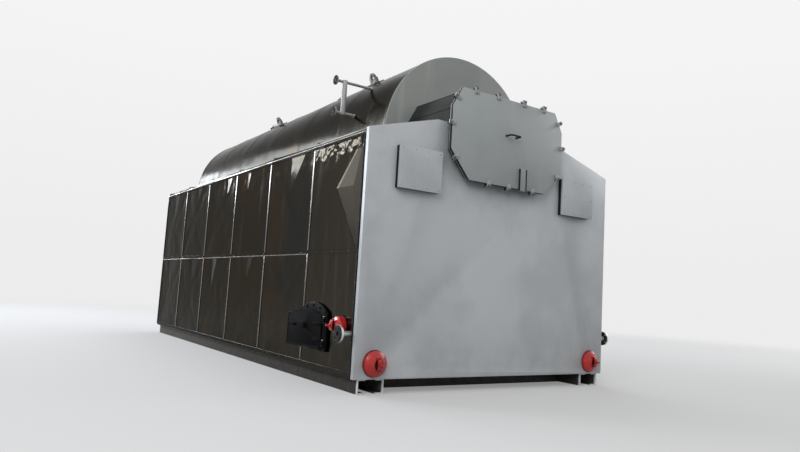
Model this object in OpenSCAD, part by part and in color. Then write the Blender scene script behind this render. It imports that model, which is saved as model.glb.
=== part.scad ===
/* [Casing] */
// Width over the side panels
casing_w = 3112; // [2900:1:3400]
// Length of the casing, front plate to rear wall
casing_l = 6392; // [6000:1:7000]
// Height of the side panels above the sill
eave_h = 2100; // [1950:1:2300]
// Height of the middle rail's centre above the sill
rail_h = 1060; // [900:1:1200]
// Length of the first bay, from the front plate to the first column line
first_bay = 1014; // [1000:1:1150]
// Number of column lines along one side
column_count = 6; // [5:1:8]
// Thickness of an insulated side wall
side_wall_t = 65; // [55:1:75]
// Thickness of the lined front and rear walls
end_wall_t = 150; // [110:1:155]
// Thickness of a side panel
panel_t = 12; // [8:1:16]
// Gap between two panels, under a trim strip
panel_gap = 8; // [4:1:14]
// Width of a column trim strip
trim_w = 24; // [18:1:32]
// Thickness of a trim strip, standing proud of the panels
trim_t = 4; // [2:1:6]
// Height of the middle rail trim
rail_trim_h = 42; // [30:1:60]
// Height of the top and bottom rail trims
edge_trim_h = 36; // [28:1:50]

/* [Front plate] */
// Thickness of the front plate
plate_t = 8; // [6:1:12]
// Depth of the folded edge at each side of the front plate
fold_depth = 36; // [24:1:50]
// Open joint between the folded edge and the side panels
corner_joint = 10; // [6:1:16]
// Height of the plate's outer corners above the side panels
corner_rise = 30; // [24:1:60]
// Rise of the gable shoulders
gable_rise = 205; // [150:1:240]
// Width of one sloping shoulder
gable_run = 726; // [650:1:760]

/* [Skids] */
// Height of the skid channels
skid_h = 125; // [100:1:180]
// Set-in of the outer skid web from the casing side
skid_inset = 54; // [30:1:80]
// Width over a pair of skid channels
skid_pair_w = 258; // [220:1:300]
// Flange width of one skid channel
skid_flange = 78; // [50:1:100]
// Web thickness of a skid channel
skid_web_t = 8; // [5:1:14]
// Flange thickness of a skid channel
skid_flange_t = 10; // [6:1:16]
// Set-back of the skid ends from the casing ends
skid_setback = 12; // [0:1:40]
// Width of a cross beam
beam_w = 80; // [60:1:140]
// Distance of a cross beam's centre from the casing end
beam_inset = 360; // [300:1:500]
// Thickness of the sill plate under the walls
sill_t = 15; // [10:1:25]

/* [Drum] */
// Outside radius of the clad drum
drum_r = 970; // [900:1:1000]
// Height of the drum axis above the sill
drum_axis_h = 2331; // [2320:1:2400]
// Front face of the drum, behind the front plate
drum_front = 686; // [560:1:800]
// Overhang of the drum behind the rear wall
drum_overhang = 422; // [300:1:520]
// Thickness of the drum wall with its insulation
drum_wall_t = 100; // [60:1:140]
// Thickness of a drum end disc
disc_t = 14; // [10:1:30]

/* [Smoke box] */
// Half width of the cover at its bottom edge
cover_bottom_half = 496; // [460:1:520]
// Half width of the cover at its upright sides
cover_side_half = 725; // [700:1:760]
// Half width of the cover at its top edge
cover_top_half = 615; // [580:1:640]
// Height of the cover's bottom edge above the sill
cover_z0 = 1807; // [1780:1:1840]
// Height where the upright sides begin
cover_z1 = 2068; // [2040:1:2090]
// Height where the upright sides end
cover_z2 = 2480; // [2460:1:2520]
// Height of the cover's top edge above the sill
cover_z3 = 2675; // [2650:1:2700]
// How far the cover's face stands in front of the front plate
cover_out = 90; // [80:1:120]
// Thickness of the cover
cover_t = 30; // [20:1:36]
// Thickness of the flange behind the cover
box_flange_t = 12; // [8:1:16]
// Width of the flange that stands out around the duct
box_flange_w = 30; // [20:1:40]
// Wall of the lined smoke duct
box_wall_t = 40; // [25:1:60]
// Width of a cover clamp
clamp_w = 44; // [30:1:60]
// Outward height of a cover clamp beyond the cover's edge
clamp_out = 36; // [24:1:44]
// Length of the clamp toe that bears on the cover
clamp_toe = 30; // [20:1:40]
// Thickness of the clamp toe
clamp_toe_t = 14; // [8:1:20]
// Reach of the cover handle from the cover's face
handle_reach = 70; // [50:1:90]
// Diameter of the handle bar
handle_d = 18; // [14:1:24]
// Length of the handle between its posts
handle_l = 130; // [120:1:220]
// Sideways place of the handle's centre
handle_x = 15; // [-60:1:60]
// Height of the handle above the sill
handle_z = 2310; // [2250:1:2380]
// Width of the strap at the cover's bottom edge
strap_w = 95; // [70:1:120]
// Sideways place of the strap's centre
strap_x = 182; // [140:1:230]
// Height of the strap above the cover's bottom edge
strap_up = 205; // [150:1:360]
// Length of the strap below the cover's bottom edge
strap_down = 15; // [5:1:60]
// Depth of the strap's side ribs
strap_rib = 26; // [15:1:40]
// Thickness of the strap's web and ribs
strap_t = 8; // [5:1:12]

/* [Front hatches] */
// Width of a hatch cover
hatch_w = 466; // [420:1:520]
// Height of a hatch cover
hatch_h = 384; // [340:1:430]
// Sideways place of a hatch centre from the middle
hatch_x = 1030; // [1000:1:1050]
// Height of a hatch centre above the sill
hatch_z = 1828; // [1780:1:1860]
// Depth of the hatch frame under its cover
hatch_frame_t = 42; // [25:1:60]
// Set-in of the frame under the edge of the cover
hatch_inset = 4; // [2:1:40]
// Width of the hatch frame's bars
hatch_bar = 40; // [30:1:60]
// Thickness of a hatch cover
hatch_cover_t = 24; // [12:1:32]

/* [Headers] */
// Diameter of the two long lower headers
header_d = 219; // [168:1:230]
// Height of the lower headers' underside above the sill
header_lift = 6; // [4:1:20]
// Sideways place of a lower header
header_x = 1359; // [1345:1:1362]
// How far a lower header's tube stands out of the casing ends
header_stub = 28; // [15:1:60]
// Height of the domed end of a lower header
header_dome = 40; // [25:1:60]
// Diameter of the cross header
cross_d = 159; // [133:1:170]
// Distance of the cross header behind the front plate
cross_y = 250; // [245:1:262]
// Height of the cross header above the sill
cross_z = 412; // [380:1:440]
// How far the cross header's tube stands out of the side panels
cross_stub = 52; // [30:1:80]
// Height of the domed end of the cross header
cross_dome = 28; // [20:1:40]
// Diameter of a hand-hole boss on a domed end
boss_d = 84; // [70:1:96]
// Height of a hand-hole boss on the dome
boss_out = 8; // [4:1:14]
// Thickness of a hand-hole lid
lid_t = 10; // [6:1:14]
// Length of a hand-hole yoke
yoke_l = 128; // [110:1:150]
// Width of a hand-hole yoke
yoke_w = 30; // [20:1:40]
// Thickness of a hand-hole yoke
yoke_t = 14; // [8:1:20]
// Diameter of a yoke bolt
yoke_bolt_d = 18; // [12:1:24]
// Length of a yoke bolt beyond its yoke
yoke_bolt_l = 44; // [20:1:52]

/* [Blowdown nozzles] */
// Distance of a blowdown nozzle behind the front plate
blow_y = 82; // [76:1:90]
// Height of a blowdown nozzle above the sill
blow_z = 355; // [320:1:390]
// Outside diameter of the nozzle pipe
blow_pipe_d = 48; // [42:1:60]
// Bore of the nozzle pipe
blow_bore_d = 42; // [32:1:44]
// Diameter of the nozzle flange
blow_flange_d = 150; // [140:1:156]
// Thickness of the nozzle flange
blow_flange_t = 18; // [14:1:24]
// Reach of the flange face from the side panels
blow_reach = 127; // [90:1:150]
// Depth of the nozzle pipe inside the front wall
blow_root = 110; // [60:1:160]
// Bolt circle of the nozzle flange
blow_pcd = 110; // [104:1:114]
// Bolt hole diameter of the nozzle flange
blow_hole_d = 18; // [14:1:20]
// Depth left closed at the inner end of a blowdown bore
blow_stop = 20; // [10:1:40]

/* [Fire doors] */
// Near edge of the door frame behind the front plate
door_y0 = 490; // [480:1:510]
// Width of the door frame
door_w = 560; // [520:1:600]
// Lower edge of the door frame above the sill
door_z0 = 160; // [140:1:180]
// Height of the door frame's square part
door_h = 340; // [320:1:360]
// Rise of the arch above the square part
door_arch = 95; // [70:1:110]
// Thickness of the door frame casting
door_frame_t = 20; // [12:1:50]
// Width of the doorway
doorway_w = 400; // [360:1:420]
// Height of the doorway
doorway_h = 240; // [220:1:260]
// Height of the doorway's lower edge above the sill
doorway_z = 212; // [200:1:225]
// Thickness of a door leaf
leaf_t = 20; // [14:1:26]
// Running gap between a closed leaf and its frame
leaf_gap = 5; // [5:1:8]
// Distance of the hinge axis from the frame's near edge
hinge_in = 30; // [26:1:36]
// Cover of the leaf beyond the doorway, above and below
leaf_lap = 26; // [18:1:30]
// Angle of the leaf as it stands, ajar
leaf_ajar = 12; // [0:1:20]
// Rise of the arched top of a door leaf
leaf_arch = 50; // [30:1:60]
// Diameter of a hinge pin
pin_d = 16; // [12:1:18]
// Radial running gap round a hinge pin
pin_gap = 0.08; // [0.05:0.01:0.1]
// Diameter of a hinge knuckle on the leaf
knuckle_d = 26; // [24:1:28]
// Height of a hinge knuckle on the leaf
knuckle_h = 36; // [28:1:44]
// Thickness of a hinge ear on the frame
ear_t = 12; // [8:1:16]
// Vertical gap between a knuckle and an ear
ear_gap = 2; // [1:0.5:3]
// Diameter of the door knob
knob_d = 34; // [24:1:44]
// Reach of the door knob from the leaf
knob_reach = 26; // [16:1:32]
// From the leaf's free edge to the knob
knob_in = 260; // [180:1:300]
// Height of the knob above the middle of the leaf's square part
knob_up = 48; // [0:1:70]
// From the leaf's top and bottom edges to the nearer hinge ear
hinge_edge = 10; // [6:1:16]
// From the door frame's side to the leaf's free edge
leaf_edge = 10; // [6:1:16]
// From a hinge knuckle to the leaf's plate
leaf_root = 6; // [4:1:10]
// Height of a hinge pin's head and how much wider than the pin it is
pin_head = 6; // [4:1:8]

/* [Water columns] */
// Distance of a water column behind the front plate
column_y = 1420; // [1300:1:1600]
// Height of the upper pipe above the drum axis
column_hi = 646; // [560:1:700]
// Height of the lower pipe above the drum axis
column_lo = 295; // [240:1:340]
// Reach of the flange faces from the middle of the boiler
column_reach = 1182; // [1140:1:1240]
// Sideways place of the upright pipe from the middle
column_x = 1064; // [1040:1:1090]
// Diameter of the upright pipe
column_d = 57; // [48:1:70]
// Diameter of the level pipes
level_d = 32; // [26:1:38]
// Bore of the level pipes
level_bore = 24; // [18:1:25]
// Diameter of a level pipe flange
level_flange_d = 105; // [98:1:115]
// Thickness of a level pipe flange
level_flange_t = 14; // [10:1:18]
// Bolt circle of a level pipe flange
level_pcd = 75; // [70:1:80]
// Bolt hole diameter of a level pipe flange
level_hole_d = 14; // [10:1:14]
// Depth of the open bore behind a level pipe's flange
level_bore_in = 40; // [20:1:60]

/* [Lifting lugs] */
// Angle of the lugs from the top of the drum
lug_angle = 30; // [20:1:40]
// Distance of the front lugs behind the front plate
lug_front_y = 1740; // [1640:1:1900]
// Distance of the rear lugs behind the front plate
lug_rear_y = 4470; // [4200:1:4800]
// Thickness of a lug
lug_t = 25; // [16:1:32]
// Length of a lug along the drum
lug_l = 150; // [120:1:180]
// Height of the lug eye above the cladding
lug_eye_h = 72; // [60:1:90]
// Diameter of the lug eye
lug_eye_d = 50; // [40:1:56]
// Width of steel left around the eye
lug_rim = 32; // [25:1:38]
// Thickness of the pad under a lug
lug_pad_t = 12; // [8:1:16]
// How far a lug's pad runs past the lug at each end
lug_pad_over = 15; // [8:1:20]

/* [Top nozzles] */
// Height of the nozzle flange faces above the cladding
nozzle_h = 125; // [100:1:150]
// Distance of the steam outlet behind the front plate
steam_y = 3300; // [3100:1:3500]
// Bore of the steam outlet
steam_bore = 150; // [125:1:150]
// Outside diameter of the steam outlet flange
steam_flange_d = 285; // [285:1:300]
// Bolt circle of the steam outlet flange
steam_pcd = 240; // [235:1:245]
// Bolt hole diameter of the steam outlet flange
steam_hole_d = 22; // [18:1:24]
// Distance of the first safety valve nozzle behind the front plate
safety_y = 2300; // [2100:1:2450]
// Distance between the safety valve nozzles
safety_pitch = 420; // [360:1:480]
// Bore of a safety valve nozzle
safety_bore = 80; // [65:1:80]
// Outside diameter of a safety valve nozzle flange
safety_flange_d = 200; // [195:1:210]
// Bolt circle of a safety valve nozzle flange
safety_pcd = 160; // [155:1:165]
// Bolt hole diameter of a safety valve nozzle flange
safety_hole_d = 18; // [14:1:20]
// Wall of the top nozzle pipes
nozzle_wall = 8; // [5:1:12]
// Thickness of the top nozzle flanges
nozzle_flange_t = 24; // [18:1:30]
// Distance of the manhole behind the front plate
manhole_y = 5450; // [5200:1:5700]
// Outside diameter of the manhole collar
manhole_d = 480; // [430:1:520]
// Height of the manhole lid above the cladding
manhole_h = 90; // [70:1:110]
// Thickness of the manhole lid
manhole_lid_t = 24; // [16:1:30]
// Width of the manhole lid's flange round its neck
manhole_rim = 40; // [30:1:50]

/* [Flue outlet] */
// Inside diameter of the flue outlet
flue_d = 600; // [500:1:650]
// Height of the flue outlet's centre above the drum axis
flue_up = 300; // [200:1:340]
// Wall of the flue collar
flue_wall = 10; // [6:1:14]
// Reach of the flue flange behind the drum's rear disc
flue_reach = 140; // [100:1:180]
// Width of the flue flange outside the collar
flue_flange_w = 50; // [40:1:60]
// Thickness of the flue flange
flue_flange_t = 12; // [8:1:18]
// Number of bolt holes in the flue flange
flue_holes = 12; // [8:1:16]
// Bolt hole diameter of the flue flange
flue_hole_d = 14; // [12:1:18]

/* [Hidden] */
$fn = 64;

// Clearance where one piece passes through or seats on another
seat = 0.3;
// How deep a fitting's outline reaches into the drum before the drum is cut from it
drum_root = 60;
// Half width of the casing
half_w = casing_w / 2;
// Outer face of the walls, under the panels
wall_x = half_w - panel_t;
// Height of the casing's lower edge, on the sill
base_z = skid_h + sill_t;
// Height of the side panels' upper edge
eave_z = base_z + eave_h;
// Height of the drum axis
drum_z = base_z + drum_axis_h;
// Rear face of the drum
drum_rear = casing_l + drum_overhang;
// Front of the side panels
panel_y0 = plate_t + fold_depth + corner_joint;
// Distance between column lines
bay = (casing_l - first_bay) / (column_count - 1);
// Height of the lower headers' axis
header_z = base_z + header_lift + header_d / 2;
// Height where the roof meets the smoke duct
roof_t = corner_rise - 2;
// Far front and far rear of the object, and the middle between them
far_front = -(cover_out + handle_reach + handle_d / 2);
far_rear = drum_rear + flue_reach;
y_mid = (far_front + far_rear) / 2;
// Hinge axis of the fire door
hinge_x = half_w + door_frame_t + leaf_gap + leaf_t / 2;
hinge_y = door_y0 + hinge_in;
// Doorway
doorway_y0 = door_y0 + (door_w - doorway_w) / 2;
doorway_y1 = doorway_y0 + doorway_w;
doorway_z0 = base_z + doorway_z;
doorway_z1 = doorway_z0 + doorway_h;
// Door leaf
leaf_y1 = door_y0 + door_w - leaf_edge;
leaf_z0 = doorway_z0 - leaf_lap;
leaf_z1 = doorway_z1 + leaf_lap;
// Colours
paint_grey = [0.62, 0.64, 0.64];
steel_dark = [0.24, 0.23, 0.21];
steel_bright = [0.72, 0.73, 0.72];
iron_black = [0.08, 0.08, 0.08];
header_red = [0.65, 0.08, 0.07];
pipe_grey = [0.70, 0.71, 0.70];
brick = [0.55, 0.50, 0.44];

function unit(v) = v / norm(v);
// Each corner of a counter-clockwise outline moved inwards so that every edge shifts by d
function inset(pts, d) = [
    for (i = [0 : len(pts) - 1])
        let (p = pts[i], a = pts[(i + len(pts) - 1) % len(pts)], b = pts[(i + 1) % len(pts)])
        let (u = unit(p - a), v = unit(b - p), m = [-u[1], u[0]], n = [-v[1], v[0]])
        p + d * (m + n) / (1 + m * n)
];
// Outline of the smoke box cover, counter-clockwise from its lower left corner
cover_pts = [
    [-cover_bottom_half, base_z + cover_z0], [cover_bottom_half, base_z + cover_z0],
    [cover_side_half, base_z + cover_z1], [cover_side_half, base_z + cover_z2],
    [cover_top_half, base_z + cover_z3], [-cover_top_half, base_z + cover_z3],
    [-cover_side_half, base_z + cover_z2], [-cover_side_half, base_z + cover_z1]
];
duct_half = cover_side_half - box_flange_w;
// Column lines along one side, with the front and rear edges
function column_line(i) = first_bay + i * bay;
// Start and end of panel i
function panel_a(i) = i == 0 ? panel_y0 : column_line(i - 1) + panel_gap / 2;
function panel_b(i) = i == column_count - 1 ? casing_l : column_line(i) - panel_gap / 2;

module box(x0, x1, y0, y1, z0, z1)
    translate([x0, y0 - y_mid, z0]) cube([x1 - x0, y1 - y0, z1 - z0]);
module upright_plate(y0, t) // an outline in X and Z, given thickness t from y0 backwards
    translate([0, y0 + t - y_mid, 0]) rotate([90, 0, 0]) linear_extrude(t) children();
module rod_x(x0, x1, y, z, d)
    translate([x0, y - y_mid, z]) rotate([0, 90, 0]) cylinder(h = x1 - x0, d = d);
module rod_y(y0, y1, x, z, d)
    translate([x, y1 - y_mid, z]) rotate([90, 0, 0]) cylinder(h = y1 - y0, d = d);
module rod_z(z0, z1, x, y, d)
    translate([x, y - y_mid, z0]) cylinder(h = z1 - z0, d = d);
module both_sides() {
    children();
    mirror([1, 0, 0]) children();
}
module drum_solid(r) rod_y(drum_front - 1, drum_rear + 1, 0, drum_z, 2 * r, $fn = 180);

// A tube end along +Z with a shallow dome and a flat boss on it; r is the tube's radius
module domed_end(l, r, h) {
    ball = (r * r + h * h) / (2 * h);
    cylinder(h = l, r = r);
    intersection() {
        translate([0, 0, l + h - ball]) sphere(r = ball, $fn = 96);
        translate([0, 0, l - 1]) cylinder(h = h + 2, r = r);
    }
    cylinder(h = l + h + boss_out, d = boss_d);
}
// Lid, yoke and bolt of one hand hole, from the boss face along +Z
module yoke() {
    cylinder(h = lid_t, d = boss_d - 4);
    translate([-yoke_w / 2, -yoke_l / 2, lid_t]) cube([yoke_w, yoke_l, yoke_t]);
    cylinder(h = lid_t + yoke_t + yoke_bolt_l, d = yoke_bolt_d);
    translate([0, 0, lid_t + yoke_t]) cylinder(h = yoke_bolt_d * 0.8, d = yoke_bolt_d * 1.8, $fn = 6);
}

// Frame on the ground

module skid_channel(x_web, dir) {
    z1 = skid_h;
    x0 = dir > 0 ? x_web : x_web - skid_web_t;
    box(x0, x0 + skid_web_t, skid_setback, casing_l - skid_setback, 0, z1);
    f0 = dir > 0 ? x_web : x_web - skid_flange;
    box(f0, f0 + skid_flange, skid_setback, casing_l - skid_setback, 0, skid_flange_t);
    box(f0, f0 + skid_flange, skid_setback, casing_l - skid_setback, z1 - skid_flange_t, z1);
}
module skid_pair() {
    skid_channel(-(half_w - skid_inset), 1);
    skid_channel(-(half_w - skid_inset - skid_pair_w), -1);
}
module left_skid() color(iron_black) skid_pair();
module right_skid() color(iron_black) mirror([1, 0, 0]) skid_pair();

skid_inner_x = half_w - skid_inset - skid_pair_w;
module cross_beams() color(iron_black)
    for (y = [beam_inset, casing_l - beam_inset])
        box(-skid_inner_x, skid_inner_x, y - beam_w / 2, y + beam_w / 2, 0, skid_h);

module base_sill() color(iron_black) difference() {
    box(-wall_x, wall_x, plate_t, casing_l, skid_h, base_z);
    box(-skid_inner_x, skid_inner_x, beam_inset + beam_w / 2, casing_l - beam_inset - beam_w / 2,
        skid_h - 1, base_z + 1);
}

// Walls

module lower_header_holes() for (s = [-1, 1])
    rod_y(-1, casing_l + 1, s * header_x, header_z, header_d + 2 * seat);
module cross_header_hole() rod_x(-half_w - 1, half_w + 1, cross_y, base_z + cross_z, cross_d + 2 * seat);
module blowdown_hole() both_sides()
    rod_x(-half_w - 1, -half_w + blow_root, blow_y, base_z + blow_z, blow_pipe_d + 2 * seat);

side_y0 = plate_t + end_wall_t;
side_y1 = casing_l - end_wall_t;
module side_wall_slab(y0, y1, z0, z1) difference() {
    box(-wall_x, -wall_x + side_wall_t, y0, y1, z0, z1);
    cross_header_hole();
}
module left_wall_front() color(brick) side_wall_slab(side_y0, doorway_y0, base_z, eave_z);
module left_wall_rear() color(brick) side_wall_slab(doorway_y1, side_y1, base_z, eave_z);
module left_wall_lintel() color(brick) side_wall_slab(doorway_y0, doorway_y1, doorway_z1, eave_z);
module left_wall_cill() color(brick) side_wall_slab(doorway_y0, doorway_y1, base_z, doorway_z0);
module right_wall() color(brick) mirror([1, 0, 0]) side_wall_slab(side_y0, side_y1, base_z, eave_z);

// Gable outline from z0 up, half as wide as hw, with its shoulders lowered by drop
module gable(hw, z0, drop) polygon([
    [-hw, z0], [hw, z0], [hw, eave_z + corner_rise - drop],
    [half_w - gable_run, eave_z + corner_rise + gable_rise - drop],
    [-(half_w - gable_run), eave_z + corner_rise + gable_rise - drop],
    [-hw, eave_z + corner_rise - drop]
]);
duct_pts = inset(cover_pts, box_flange_w);
module duct_cut() upright_plate(-2 * cover_out, drum_front + 2 * cover_out)
    polygon(inset(duct_pts, -seat));

module front_wall() color(brick) difference() {
    upright_plate(plate_t, end_wall_t) gable(wall_x, base_z, corner_rise);
    duct_cut();
    lower_header_holes();
    blowdown_hole();
}
module front_plate() color(paint_grey) difference() {
    union() {
        upright_plate(0, plate_t) gable(half_w, skid_h, 0);
        both_sides() box(-half_w, -half_w + plate_t / 2, 0, plate_t + fold_depth,
            skid_h, eave_z + corner_rise);
    }
    duct_cut();
    lower_header_holes();
}
module rear_wall() color(brick) difference() {
    upright_plate(side_y1, end_wall_t) gable(wall_x, base_z, corner_rise);
    drum_solid(drum_r + seat);
    lower_header_holes();
}
module shoulder_roofs() color(steel_dark) both_sides() difference() {
    upright_plate(plate_t, casing_l - plate_t) polygon([
        [-wall_x, eave_z], [-(half_w - gable_run), eave_z + gable_rise], [-duct_half, eave_z + gable_rise],
        [-duct_half, eave_z + gable_rise + roof_t], [-(half_w - gable_run), eave_z + gable_rise + roof_t],
        [-wall_x, eave_z + roof_t]
    ]);
    drum_solid(drum_r + seat);
}

// Side cladding

module panel(i, z0, z1) box(-half_w, -wall_x, panel_a(i), panel_b(i), z0, z1);
mid_z = base_z + rail_h;
module upper_row() for (i = [0 : column_count - 1]) panel(i, mid_z + panel_gap / 2, eave_z);
module lower_row() difference() {
    for (i = [0 : column_count - 1]) panel(i, base_z, mid_z - panel_gap / 2);
    cross_header_hole();
    blowdown_hole();
}
module doorway_cut() box(-half_w - door_frame_t - 1, -wall_x + side_wall_t + 1, doorway_y0, doorway_y1,
    doorway_z0, doorway_z1);
module left_upper_panels() color(steel_dark) upper_row();
module right_upper_panels() color(steel_dark) mirror([1, 0, 0]) upper_row();
module left_lower_panels() color(steel_dark) difference() {
    lower_row();
    doorway_cut();
}
module right_lower_panels() color(steel_dark) mirror([1, 0, 0]) lower_row();

// Arched outline in Y and Z with straight sides from z0 to z1 and an arch of height rise, grown by g
module arched(y0, y1, z0, z1, rise, g = 0) {
    half = (y1 - y0) / 2;
    arc_r = (half * half + rise * rise) / (2 * rise);
    translate([y0 - g, z0 - g]) square([2 * half + 2 * g, z1 - z0 + g]);
    intersection() {
        translate([y0 + half, z1 + rise - arc_r]) circle(r = arc_r + g, $fn = 128);
        translate([y0 - g, z1 - 1]) square([2 * half + 2 * g, rise + 2 + g]);
    }
}
module door_outline(g) arched(door_y0, door_y0 + door_w, base_z + door_z0, base_z + door_z0 + door_h,
    door_arch, g);
// An outline in Y and Z, given thickness t outwards from the left side panels
module side_plate(x_in, t) translate([-x_in - t, -y_mid, 0])
    rotate([90, 0, 90]) linear_extrude(t) children();

trim_lines = concat([panel_y0 + trim_w / 2], [for (i = [0 : column_count - 2]) column_line(i)],
    [casing_l - trim_w / 2]);
module column_strips() difference() {
    for (y = trim_lines, z = [[base_z + edge_trim_h, mid_z - rail_trim_h / 2],
                              [mid_z + rail_trim_h / 2, eave_z - edge_trim_h]])
        box(-half_w - trim_t, -half_w, y - trim_w / 2, y + trim_w / 2, z[0] + seat, z[1] - seat);
    side_plate(half_w - 1, trim_t + 2) door_outline(seat);
    rod_x(-half_w - trim_t - 1, -half_w + 1, blow_y, base_z + blow_z, blow_pipe_d + 2 * seat);
}
module rail_strips() for (z = [[base_z, base_z + edge_trim_h],
                               [mid_z - rail_trim_h / 2, mid_z + rail_trim_h / 2],
                               [eave_z - edge_trim_h, eave_z]])
    box(-half_w - trim_t, -half_w, panel_y0, casing_l, z[0], z[1]);
module left_column_trims() color(steel_bright) column_strips();
module right_column_trims() color(steel_bright) mirror([1, 0, 0]) column_strips();
module left_rail_trims() color(steel_bright) rail_strips();
module right_rail_trims() color(steel_bright) mirror([1, 0, 0]) rail_strips();

// Drum

module drum_jacket() color(steel_dark) difference() {
    rod_y(drum_front + disc_t, drum_rear - disc_t, 0, drum_z, 2 * drum_r, $fn = 180);
    rod_y(drum_front, drum_rear, 0, drum_z, 2 * (drum_r - drum_wall_t), $fn = 180);
}
module drum_front_disc() color(paint_grey)
    rod_y(drum_front, drum_front + disc_t, 0, drum_z, 2 * drum_r, $fn = 180);
module drum_rear_disc() color(paint_grey) difference() {
    rod_y(drum_rear - disc_t, drum_rear, 0, drum_z, 2 * drum_r, $fn = 180);
    rod_y(drum_rear - disc_t - 1, drum_rear + 1, 0, drum_z + flue_up, flue_d);
}

// Smoke box on the front

flange_y = -(cover_out - cover_t);
module smoke_box_duct() color(paint_grey) difference() {
    upright_plate(flange_y + box_flange_t, drum_front - flange_y - box_flange_t) polygon(duct_pts);
    upright_plate(flange_y, drum_front - flange_y + 1) polygon(inset(duct_pts, box_wall_t));
}
module smoke_box_flange() color(paint_grey) difference() {
    upright_plate(flange_y, box_flange_t) polygon(cover_pts);
    upright_plate(flange_y - 1, box_flange_t + 2) polygon(inset(duct_pts, box_wall_t));
}
module smoke_box_cover() color(paint_grey) upright_plate(-cover_out, cover_t) polygon(cover_pts);

// One clamp on edge k of the cover, at share s along it
module clamp(k, s) {
    a = cover_pts[k];
    b = cover_pts[(k + 1) % len(cover_pts)];
    p = a + s * (b - a);
    u = unit(b - a);
    translate([p[0], -y_mid, p[1]]) rotate([0, -atan2(u[1], u[0]), 0]) {
        translate([-clamp_w / 2, -cover_out - clamp_toe_t, -clamp_out])
            cube([clamp_w, clamp_toe_t + cover_t + box_flange_t, clamp_out]);
        translate([-clamp_w / 2, -cover_out - clamp_toe_t, -clamp_out])
            cube([clamp_w, clamp_toe_t, clamp_out + clamp_toe]);
    }
}
// Edge of the cover and share along it for each clamp
clamp_places = [[4, 0.13], [4, 0.36], [4, 0.64], [4, 0.87], [3, 0.45], [5, 0.55], [2, 0.6], [6, 0.4],
                [1, 0.75], [7, 0.25], [0, 0.24], [0, 0.5], [0, 0.83]];
module cover_clamps() color(pipe_grey) for (c = clamp_places) clamp(c[0], c[1]);

module cover_handle() color(paint_grey) {
    z = base_z + handle_z;
    for (s = [-1, 1])
        rod_y(-cover_out - handle_reach, -cover_out, handle_x + s * handle_l / 2, z, handle_d);
    rod_x(handle_x - handle_l / 2 - handle_d / 2, handle_x + handle_l / 2 + handle_d / 2,
        -cover_out - handle_reach, z, handle_d);
}
module cover_strap() color(paint_grey) {
    z0 = base_z + cover_z0 - strap_down;
    z1 = base_z + cover_z0 + strap_up;
    box(strap_x - strap_w / 2, strap_x + strap_w / 2, -cover_out - strap_t, -cover_out, z0, z1);
    for (x = [strap_x - strap_w / 2, strap_x + strap_w / 2 - strap_t])
        box(x, x + strap_t, -cover_out - strap_rib, -cover_out, z0, z1);
}

// Front hatches

module hatch_frames() color(paint_grey) both_sides() difference() {
    w = hatch_w / 2 - hatch_inset;
    h = hatch_h / 2 - hatch_inset;
    z = base_z + hatch_z;
    box(-hatch_x - w, -hatch_x + w, -hatch_frame_t, 0, z - h, z + h);
    box(-hatch_x - w + hatch_bar, -hatch_x + w - hatch_bar, -hatch_frame_t - 1, 1, z - h + hatch_bar,
        z + h - hatch_bar);
}
module hatch_covers() color(paint_grey) both_sides() {
    z = base_z + hatch_z;
    box(-hatch_x - hatch_w / 2, -hatch_x + hatch_w / 2, -hatch_frame_t - hatch_cover_t, -hatch_frame_t,
        z - hatch_h / 2, z + hatch_h / 2);
}

// Headers

module lower_headers() color(header_red) for (s = [-1, 1])
    translate([s * header_x, casing_l / 2 - y_mid, header_z])
        for (t = [-90, 90]) rotate([t, 0, 0])
            domed_end(casing_l / 2 + header_stub, header_d / 2, header_dome);
module cross_header() color(header_red) translate([0, cross_y - y_mid, base_z + cross_z])
    for (t = [-90, 90]) rotate([0, t, 0]) domed_end(half_w + cross_stub, cross_d / 2, cross_dome);
module hand_hole_yokes() color(header_red) {
    for (s = [-1, 1], t = [-90, 90])
        translate([s * header_x, casing_l / 2 - y_mid, header_z]) rotate([t, 0, 0])
            translate([0, 0, casing_l / 2 + header_stub + header_dome + boss_out]) yoke();
    for (t = [-90, 90])
        translate([0, cross_y - y_mid, base_z + cross_z]) rotate([0, t, 0])
            translate([0, 0, half_w + cross_stub + cross_dome + boss_out]) yoke();
}
module blowdown_nozzles() color(pipe_grey) both_sides() difference() {
    z = base_z + blow_z;
    union() {
        rod_x(-half_w - blow_reach, -half_w + blow_root - seat, blow_y, z, blow_pipe_d);
        rod_x(-half_w - blow_reach, -half_w - blow_reach + blow_flange_t, blow_y, z, blow_flange_d);
    }
    rod_x(-half_w - blow_reach - 1, -half_w + blow_root - blow_stop, blow_y, z, blow_bore_d);
    for (a = [45 : 90 : 315])
        rod_x(-half_w - blow_reach - 1, -half_w - blow_reach + blow_flange_t + 1,
            blow_y + blow_pcd / 2 * cos(a), z + blow_pcd / 2 * sin(a), blow_hole_d);
}

// Fire doors

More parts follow.
